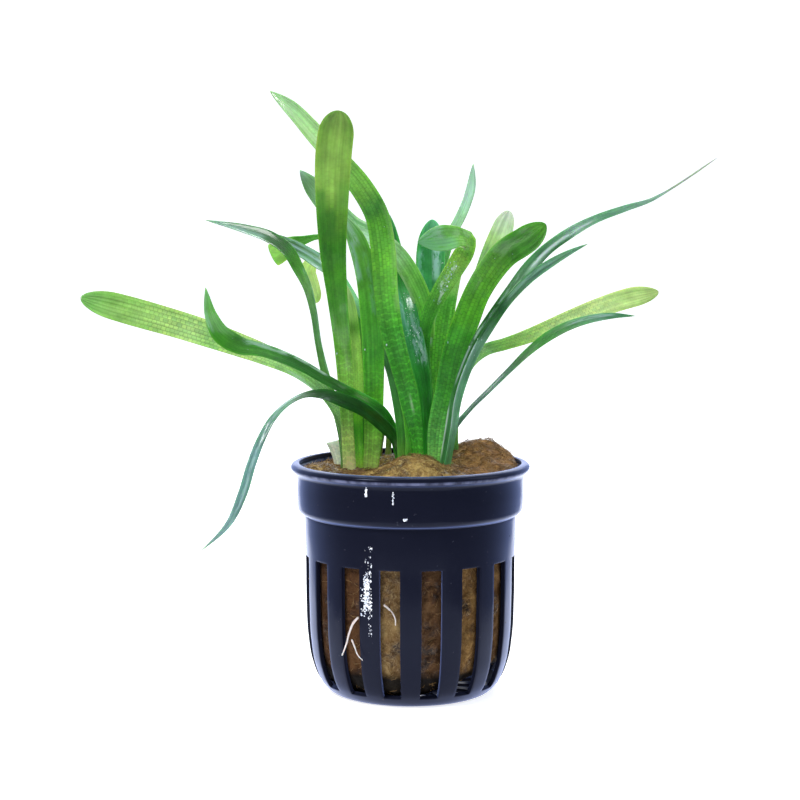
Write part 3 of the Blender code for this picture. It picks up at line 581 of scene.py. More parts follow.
def wet_wool():
    """Felted fibre: tan lumps, darker wet hollows, and fine strands that run every way."""
    material, tree, shader = new_material("wet_wool", Roughness=0.7, Specular_IOR_Level=0.14,
                                          Coat_Roughness=0.16)
    where = put(tree, "ShaderNodeTexCoord").outputs["Object"]
    patches = cloud_noise(tree, where, 190.0, 6.0, 0.62)
    broad = cloud_noise(tree, where, 62.0, 1.0)
    bent = put(tree, "ShaderNodeTexNoise", {"Vector": where, "Scale": 260.0, "Detail": 2.0})
    shift = put(tree, "ShaderNodeVectorMath", {0: bent.outputs["Color"], 1: (0.5, 0.5, 0.5)},
                operation="SUBTRACT")
    shift = put(tree, "ShaderNodeVectorMath", {0: shift.outputs[0], "Scale": 0.006}, operation="SCALE")
    swayed = put(tree, "ShaderNodeVectorMath", {0: where, 1: shift.outputs[0]}, operation="ADD").outputs[0]
    layers = []
    for scale in ((2600.0, 500.0, 700.0), (500.0, 2600.0, 2000.0)):
        spun = put(tree, "ShaderNodeMapping", {"Vector": swayed, "Scale": scale,
                                               "Rotation": (0.4, 0.7, 0.5)}).outputs[0]
        layers.append(cloud_noise(tree, spun, 1.0, 3.0, 0.6))
    strands = maths(tree, "MAXIMUM", layers[0], layers[1])
    felted = colour_ramp(tree, patches, WOOL_COLOURS)
    bright = remap(tree, strands, 0.52, 0.76)
    tint = blended(tree, bright, felted, (0.42, 0.29, 0.13))
    parts = put(tree, "ShaderNodeSeparateXYZ", {0: where}).outputs
    place = maths(tree, "MULTIPLY_ADD", broad, 0.16, maths(tree, "MULTIPLY_ADD", parts["X"], 20.0, 0.42))
    stain = colour_ramp(tree, place, WOOL_STAINS)
    golden = remap(tree, parts["X"], *GOLDEN_SPAN)
    golden = blended(tree, golden, (1.42, 1.50, 1.20), (1.05, 0.86, 0.62))
    below = remap(tree, parts["Z"], *SOAKED_SPAN)
    soaked = blended(tree, below, golden, stain)
    tint = blended(tree, 1.0, tint, soaked, "MULTIPLY")
    # Painted shade: colour and coat are scaled down to near black below about 7 mm, and in a band from 42.5
    # to 47 mm high, where less light reaches the wool.
    levels = colour_ramp(tree, maths(tree, "MULTIPLY", parts["Z"], 16.0),
                         [(position, (level, level, level)) for position, level in WOOL_LEVELS])
    depth = put(tree, "ShaderNodeSeparateColor", {0: levels}).outputs[0]
    shade = put(tree, "ShaderNodeVectorMath", {0: tint, "Scale": depth}, operation="SCALE")
    tree.links.new(shade.outputs[0], shader.inputs["Base Color"])
    wet = remap(tree, patches, 0.52, 0.36, 0.0, 0.4)
    tree.links.new(maths(tree, "MULTIPLY", wet, depth), shader.inputs["Coat Weight"])
    bump = put(tree, "ShaderNodeBump", {"Height": strands, "Strength": 0.7, "Distance": 0.0005})
    tree.links.new(bump.outputs[0], shader.inputs["Normal"])
    return material


def fibre_tree():
    """Grows thin bent strands on the parts of a surface that one of its attributes marks."""
    tree = bpy.data.node_groups.new("fibres", "GeometryNodeTree")
    face = tree.interface
    face.new_socket("Surface", in_out="INPUT", socket_type="NodeSocketGeometry")
    for name in ("Density", "Length", "Radius", "Lift", "Bend"):
        face.new_socket(name, in_out="INPUT", socket_type="NodeSocketFloat")
    face.new_socket("Marks", in_out="INPUT", socket_type="NodeSocketString")
    face.new_socket("Seed", in_out="INPUT", socket_type="NodeSocketInt")
    face.new_socket("Finish", in_out="INPUT", socket_type="NodeSocketMaterial")
    face.new_socket("Fibres", in_out="OUTPUT", socket_type="NodeSocketGeometry")
    given = tree.nodes.new("NodeGroupInput").outputs
    share = put(tree, "GeometryNodeInputNamedAttribute", {"Name": given["Marks"]},
                data_type="FLOAT").outputs[0]
    density = maths(tree, "MULTIPLY", share, given["Density"])
    spread = put(tree, "GeometryNodeDistributePointsOnFaces", {
        "Mesh": given["Surface"], "Density": density, "Seed": given["Seed"]}, distribute_method="RANDOM")
    strand = put(tree, "GeometryNodeCurvePrimitiveLine", {"Start": (-0.5, 0.0, 0.0), "End": (0.5, 0.0, 0.0)})
    parted = put(tree, "GeometryNodeResampleCurve", {"Curve": strand.outputs[0], "Count": 7})
    spin = put(tree, "FunctionNodeRandomValue", {"Min": (0.0, 0.0, 0.0), "Max": (0.0, 0.0, math.tau),
                                                 "Seed": 3}, data_type="FLOAT_VECTOR")
    tilt = put(tree, "FunctionNodeRandomValue", {"Min": (-0.25, -0.35, 0.0), "Max": (0.25, 0.35, 0.0),
                                                 "Seed": 5}, data_type="FLOAT_VECTOR")
    turned = put(tree, "FunctionNodeRotateEuler", {"Rotation": spread.outputs["Rotation"],
                                                   "Rotate By": spin.outputs[0]}, rotation_type="EULER",
                 space="LOCAL")
    tipped = put(tree, "FunctionNodeRotateEuler", {
        "Rotation": turned.outputs[0], "Rotate By": tilt.outputs[0]}, rotation_type="EULER", space="LOCAL")
    size = put(tree, "FunctionNodeRandomValue", {2: 0.35, 3: 1.0, "Seed": 7}, data_type="FLOAT")
    long = maths(tree, "MULTIPLY", size.outputs[1], given["Length"])
    placed = put(tree, "GeometryNodeInstanceOnPoints", {
        "Points": spread.outputs["Points"], "Instance": parted.outputs[0], "Rotation": tipped.outputs[0],
        "Scale": long})
    loose = put(tree, "GeometryNodeRealizeInstances", {"Geometry": placed.outputs[0]})
    here = tree.nodes.new("GeometryNodeInputPosition").outputs[0]
    sway = put(tree, "ShaderNodeTexNoise", {"Vector": here, "Scale": 420.0, "Detail": 1.0})
    offset = put(tree, "ShaderNodeVectorMath", {0: sway.outputs["Color"], 1: (0.5, 0.5, 0.5)},
                 operation="SUBTRACT")
    offset = put(tree, "ShaderNodeVectorMath", {0: offset.outputs[0], "Scale": given["Bend"]},
                 operation="SCALE")
    bent = put(tree, "GeometryNodeSetPosition", {"Geometry": loose.outputs[0], "Offset": offset.outputs[0]})
    profile = put(tree, "GeometryNodeCurvePrimitiveCircle", {"Resolution": 3, "Radius": given["Radius"]})
    solid = put(tree, "GeometryNodeCurveToMesh", {"Curve": bent.outputs[0],
                                                  "Profile Curve": profile.outputs[0], "Fill Caps": True})
    whole = put(tree, "GeometryNodeRealizeInstances", {"Geometry": solid.outputs[0]})
    done = put(tree, "GeometryNodeSetMaterial", {"Geometry": whole.outputs[0], "Material": given["Finish"]})
    tree.links.new(done.outputs[0], tree.nodes.new("NodeGroupOutput").inputs[0])
    return tree


wool = make_wool(wet_wool())
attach(wool, "root")
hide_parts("wool")


def fibre_finish(name, dark, light):
    material, tree, shader = new_material(name, Roughness=0.55, Specular_IOR_Level=0.2)
    where = put(tree, "ShaderNodeTexCoord").outputs["Object"]
    patches = cloud_noise(tree, where, 300.0, 2.0)
    tint = blended(tree, patches, dark, light)
    tree.links.new(tint, shader.inputs["Base Color"])
    return material


fibre_growth = fibre_tree()
brown_fibre = fibre_finish("brown_fibre", (0.10, 0.045, 0.014), (0.40, 0.25, 0.10))
pale_fibre = fibre_finish("pale_fibre", (0.34, 0.26, 0.20), (0.72, 0.64, 0.56))
for name, marks, density, seed, finish in (("wool_fibres", "fuzz", 2.2e6, 4, brown_fibre),
                                           ("wool_pale_fibres", "pale", 4.5e6, 9, pale_fibre)):
    fibres = run_tree(wool, fibre_growth, name, Density=density, Length=3.6 * MM, Radius=0.045 * MM,
                      Bend=2.2 * MM, Marks=marks, Seed=seed, Finish=finish)
    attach(fibres, "root")

# The crowns.
# Three short fleshy shoots set in the wool, where the leaf bases wrap round each other; pale tissue
# that shows only as sheaths at the feet of the leaves.
CROWNS = {
    "crown_left": (-12.2, 1.8, 5.6, 6.2, 51.0),
    "crown_middle": (-0.2, 0.4, 4.3, 6.2, 53.5),
    "crown_right": (9.1, 3.0, 4.6, 9.4, 53.0),
}
CROWN_DEPTH = 8.0


def leaf_tissue_group():
    """Lengthwise veins joined by staggered cross veins, with paler cells between them, and painted
    highlights on cross ribs low on the blade.
    """
    tree = bpy.data.node_groups.new("leaf_tissue", "ShaderNodeTree")
    face = tree.interface
    face.new_socket("Tissue", in_out="INPUT", socket_type="NodeSocketColor")
    for name, value in (("Lines", 7.0), ("Cell length", 1.1), ("Veins", 0.5), ("Stripe", 0.3), ("Ribs", 0.0),
                        ("Seed", 0.0)):
        face.new_socket(name, in_out="INPUT", socket_type="NodeSocketFloat").default_value = value
    face.new_socket("Color", in_out="OUTPUT", socket_type="NodeSocketColor")
    for name in ("Roughness", "Height", "Wet"):
        face.new_socket(name, in_out="OUTPUT", socket_type="NodeSocketFloat")
    given = tree.nodes.new("NodeGroupInput").outputs
    blade = put(tree, "ShaderNodeSeparateXYZ", {0: put(tree, "ShaderNodeUVMap", uv_map="blade").outputs[0]})
    across = blade.outputs["X"]
    distance = maths(tree, "MULTIPLY", blade.outputs["Y"], 100.0)
    along = put(tree, "ShaderNodeAttribute", attribute_name="along").outputs["Fac"]
    place = put(tree, "ShaderNodeCombineXYZ", {
        "X": maths(tree, "MULTIPLY", distance, 0.3), "Y": maths(tree, "MULTIPLY", across, 2.0),
        "Z": given["Seed"]})
    sway = cloud_noise(tree, place.outputs[0], 1.6, 3.0)
    wander = maths(tree, "MULTIPLY", maths(tree, "SUBTRACT", sway, 0.5), 1.1)
    cell = put(tree, "ShaderNodeCombineXYZ", {
        "X": maths(tree, "ADD", maths(tree, "DIVIDE", distance, given["Cell length"]), wander),
        "Y": maths(tree, "ADD", maths(tree, "MULTIPLY", across, given["Lines"]),
                   maths(tree, "MULTIPLY", wander, 0.35))})
    net = put(tree, "ShaderNodeTexBrick", {
        "Vector": cell.outputs[0], "Color1": (0.0, 0.0, 0.0, 1.0), "Color2": (1.0, 1.0, 1.0, 1.0),
        "Mortar": (0.5, 0.5, 0.5, 1.0), "Scale": 1.0, "Mortar Size": 0.12, "Mortar Smooth": 0.9,
        "Brick Width": 1.0, "Row Height": 1.0}, offset=0.5, offset_frequency=2)
    fade = remap(tree, along, 0.72, 0.92, 1.0, 0.15, soft=True)
    strength = maths(tree, "MULTIPLY", given["Veins"], fade)
    vein = maths(tree, "MULTIPLY", net.outputs["Fac"], strength)

    mottle = cloud_noise(tree, place.outputs[0], 0.9, 4.0, 0.6)
    level = remap(tree, mottle, 0.3, 0.7, 0.80, 1.20)
    cells = put(tree, "ShaderNodeSeparateColor", {0: net.outputs["Color"]}).outputs[0]
    cells = maths(tree, "MULTIPLY_ADD", maths(tree, "MULTIPLY", cells, strength), 0.34, 0.97)
    grain = put(tree, "ShaderNodeCombineXYZ", {
        "X": maths(tree, "MULTIPLY", distance, 0.05), "Y": maths(tree, "MULTIPLY", across, 9.0),
        "Z": given["Seed"]})
    streaks = cloud_noise(tree, grain.outputs[0], 1.0, 2.0)
    streaks = remap(tree, streaks, 0.3, 0.7, 0.80, 1.18)
    off_middle = maths(tree, "ABSOLUTE", maths(tree, "MULTIPLY_ADD", across, 2.0, -1.0))
    stripe = remap(tree, off_middle, 0.75, 0.25, soft=True)
    glow = maths(tree, "MULTIPLY_ADD", maths(tree, "MULTIPLY", stripe, given["Stripe"]), 1.0, 1.0)
    dark = maths(tree, "MULTIPLY_ADD", vein, -0.48, 1.0)
    # Painted highlight: pale bars across the lower part of the blade, where the cross ribs catch the light.
    swung = maths(tree, "ADD", maths(tree, "MULTIPLY", wander, 2.6), distance)
    wave = maths(tree, "SINE", maths(tree, "MULTIPLY", swung, 4.2))
    rib = remap(tree, wave, 0.35, 0.95, soft=True)
    low = remap(tree, along, 0.46, 0.34)
    painted_rib_highlights = maths(tree, "MULTIPLY", maths(tree, "MULTIPLY", rib, low), given["Ribs"])
    glow = maths(tree, "ADD", glow, painted_rib_highlights)
    factor = maths(tree, "MULTIPLY", maths(tree, "MULTIPLY", level, streaks),
                   maths(tree, "MULTIPLY", glow, dark))
    lit = put(tree, "ShaderNodeCombineXYZ", {"X": maths(tree, "POWER", cells, 1.6), "Y": cells,
                                             "Z": maths(tree, "POWER", cells, 0.5)})
    shade = put(tree, "ShaderNodeVectorMath", {0: given["Tissue"], 1: lit.outputs[0]}, operation="MULTIPLY")
    shade = put(tree, "ShaderNodeVectorMath", {0: shade.outputs[0], "Scale": factor}, operation="SCALE")
    turns = maths(tree, "MULTIPLY", given["Lines"], math.tau)
    ridges = maths(tree, "SINE", maths(tree, "MULTIPLY", across, turns))
    height = maths(tree, "SUBTRACT", maths(tree, "MULTIPLY", ridges, 0.18),
                   maths(tree, "MULTIPLY", vein, 0.9))
    rough = remap(tree, mottle, 0.35, 0.65, 0.30, 0.46)
    film = cloud_noise(tree, place.outputs[0], 0.55, 2.0)
    wet = remap(tree, film, 0.48, 0.58, soft=True)
    out = tree.nodes.new("NodeGroupOutput")
    tree.links.new(shade.outputs[0], out.inputs["Color"])
    tree.links.new(rough, out.inputs["Roughness"])
    tree.links.new(height, out.inputs["Height"])
    tree.links.new(wet, out.inputs["Wet"])
    return tree


leaf_tissue = leaf_tissue_group()


def leaf_painted_light_group():
    """A soft patch on a blade, from place to place, mixed into its colour: painted sheens and highlights of
    wet tissue, and painted shade on folds and where other leaves lie behind the blade.
    """
    tree = bpy.data.node_groups.new("leaf_touch", "ShaderNodeTree")
    face = tree.interface
    face.new_socket("Tissue", in_out="INPUT", socket_type="NodeSocketColor")
    face.new_socket("Touch", in_out="INPUT", socket_type="NodeSocketColor")
    for name in ("Across from", "Across to", "Along from", "Along to", "Strength", "Broken", "Seed"):
        face.new_socket(name, in_out="INPUT", socket_type="NodeSocketFloat")
    face.new_socket("Color", in_out="OUTPUT", socket_type="NodeSocketColor")
    face.new_socket("Mask", in_out="OUTPUT", socket_type="NodeSocketFloat")
    given = tree.nodes.new("NodeGroupInput").outputs
    blade = put(tree, "ShaderNodeSeparateXYZ", {0: put(tree, "ShaderNodeUVMap", uv_map="blade").outputs[0]})
    along = put(tree, "ShaderNodeAttribute", attribute_name="along").outputs["Fac"]
    place = put(tree, "ShaderNodeCombineXYZ", {
        "X": maths(tree, "MULTIPLY", blade.outputs["Y"], 26.0),
        "Y": maths(tree, "MULTIPLY", blade.outputs["X"], 5.0), "Z": given["Seed"]})
    cloud = cloud_noise(tree, place.outputs[0], 1.0, 4.0, 0.62)
    mask = given["Strength"]
    for value, low, high, soft in ((blade.outputs["X"], "Across from", "Across to", 0.09),
                                   (along, "Along from", "Along to", 0.018)):
        value = maths(tree, "MULTIPLY_ADD", maths(tree, "SUBTRACT", cloud, 0.5), soft * 1.6, value)
        for edge, turn in ((low, 1.0), (high, -1.0)):
            side = remap(tree, maths(tree, "MULTIPLY", maths(tree, "SUBTRACT", value, given[edge]), turn),
                         -soft, soft, soft=True)
            mask = maths(tree, "MULTIPLY", mask, side)
    gap = maths(tree, "MULTIPLY_ADD", given["Broken"], 0.34, 0.22)
    whole = remap(tree, cloud, gap, maths(tree, "ADD", gap, 0.14), soft=True)
    mask = maths(tree, "MULTIPLY", mask, whole)
    mixed = blended(tree, mask, given["Tissue"], given["Touch"])
    out = tree.nodes.new("NodeGroupOutput")
    tree.links.new(mixed, out.inputs["Color"])
    tree.links.new(mask, out.inputs["Mask"])
    return tree


leaf_touch = leaf_painted_light_group()


def leaf_finish(name, stops, painted_lights=(), wet=0.05, **values):
    """A soft leaf: colours from foot to tip under a net of veins, with painted sheens and painted shade laid
    on; the same patches make the coat wetter.
    """
    material, tree, shader = new_material(
        name, IOR=1.4, Subsurface_Weight=0.35, Subsurface_Radius=(0.5, 1.0, 0.25), Subsurface_Scale=0.0016,
        Coat_Roughness=0.10, Specular_IOR_Level=0.3)
    along = put(tree, "ShaderNodeAttribute", attribute_name="along").outputs["Fac"]
    from_foot = colour_ramp(tree, along, stops, easing="EASE")
    tissue = put(tree, "ShaderNodeGroup", {"Tissue": from_foot, **values}, node_tree=leaf_tissue)
    colour = tissue.outputs["Color"]
    film = tissue.outputs["Wet"]
    for number, (left, right, start, end, shade, strength, broken) in enumerate(painted_lights):
        touch = put(tree, "ShaderNodeGroup", {
            "Tissue": colour, "Touch": (*shade, 1.0), "Across from": left, "Across to": right,
            "Along from": start, "Along to": end, "Strength": strength, "Broken": broken,
            "Seed": 3.7 * number}, node_tree=leaf_touch)
        colour = touch.outputs["Color"]
        film = maths(tree, "MAXIMUM", film, touch.outputs["Mask"])
    tree.links.new(colour, shader.inputs["Base Color"])
    tree.links.new(tissue.outputs["Roughness"], shader.inputs["Roughness"])
    coat = maths(tree, "MULTIPLY_ADD", film, 0.5, wet)
    tree.links.new(coat, shader.inputs["Coat Weight"])
    bump = put(tree, "ShaderNodeBump", {"Height": tissue.outputs["Height"], "Strength": 0.35,
                                        "Distance": 0.00025})
    tree.links.new(bump.outputs[0], shader.inputs["Normal"])
    return material


def mesh_from_rings(name, rings, finish):
    """Skin closed rings of (point, u, v, along) and close both ends on a middle point."""
    build = bmesh.new()
    uv_layer = build.loops.layers.uv.new("blade")
    along_layer = build.verts.layers.float.new("along")
    across_layer = build.verts.layers.float.new("across")
    made_rings = []
    for ring in rings:
        made = []
        for point, u, v, along in ring:
            vertex = build.verts.new(point * MM)
            vertex[along_layer] = along
            vertex[across_layer] = u
            made.append((vertex, u, v))
        made_rings.append(made)

    def skin(corners):
        try:
            made_face = build.faces.new([corner[0] for corner in corners])
        except ValueError:
            return
        made_face.smooth = True
        for loop, corner in zip(made_face.loops, corners):
            loop[uv_layer].uv = (corner[1], corner[2])

    for lower, upper in zip(made_rings, made_rings[1:]):
        count = len(lower)
        for index in range(count):
            after = (index + 1) % count
            skin((lower[index], lower[after], upper[after], upper[index]))
    for ring, flip in ((made_rings[0], True), (made_rings[-1], False)):
        middle = sum((corner[0].co for corner in ring), Vector()) / len(ring)
        pole = build.verts.new(middle)
        pole[along_layer] = ring[0][0][along_layer]
        tip = (pole, 0.5, ring[0][2])
        for index in range(len(ring)):
            after = (index + 1) % len(ring)
            skin((ring[after], ring[index], tip) if flip else (ring[index], ring[after], tip))
    bmesh.ops.recalc_face_normals(build, faces=build.faces)
    mesh = bpy.data.meshes.new(name)
    build.to_mesh(mesh)
    build.free()
    mesh.materials.append(finish)
    made = bpy.data.objects.new(name, mesh)
    bpy.context.scene.collection.objects.link(made)
    return made


def make_crown(name, place, finish):
    """A fluted bulb: the overlapping feet of the leaves, drawn in and rounded off at the top."""
    x, y, half_x, half_y, top = place
    rings = []
    for row in range(25):
        share = row / 24
        swell = 0.62 + 0.38 * min(1.0, share * 1.7)
        crest = max(0.0, (share - 0.72) / 0.28)
        swell *= math.sqrt(max(1.0 - 0.93 * crest * crest, 0.0))
        height = top - CROWN_DEPTH + (CROWN_DEPTH + 0.6) * share
        ring = []
        for column in range(72):
            angle = math.tau * column / 72
            cosine = math.cos(angle)
            sine = math.sin(angle)
            reach = (cosine ** 4 + sine ** 4) ** -0.25
            flute = 1.0 + 0.035 * math.sin(11.0 * angle + 2.0 * share) + 0.02 * math.sin(23.0 * angle)
            point = Vector((x + half_x * swell * reach * cosine * flute * 0.96,
                            y + half_y * swell * reach * sine * flute * 0.96,
                            height + 0.35 * math.sin(5.0 * angle + x) * share))
            ring.append((point, column / 72, share * 0.08, share))
        rings.append(ring)
    return mesh_from_rings(name, rings, finish)


crown_finish = leaf_finish("crown_tissue", [(0.0, (0.20, 0.22, 0.08)), (1.0, (0.20, 0.34, 0.08))],
                           Lines=24.0, Veins=0.3, Stripe=0.0)
for name, place in CROWNS.items():
    crown = make_crown(name + "_bulb", place, crown_finish)
    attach(crown, "root")
    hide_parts(name)

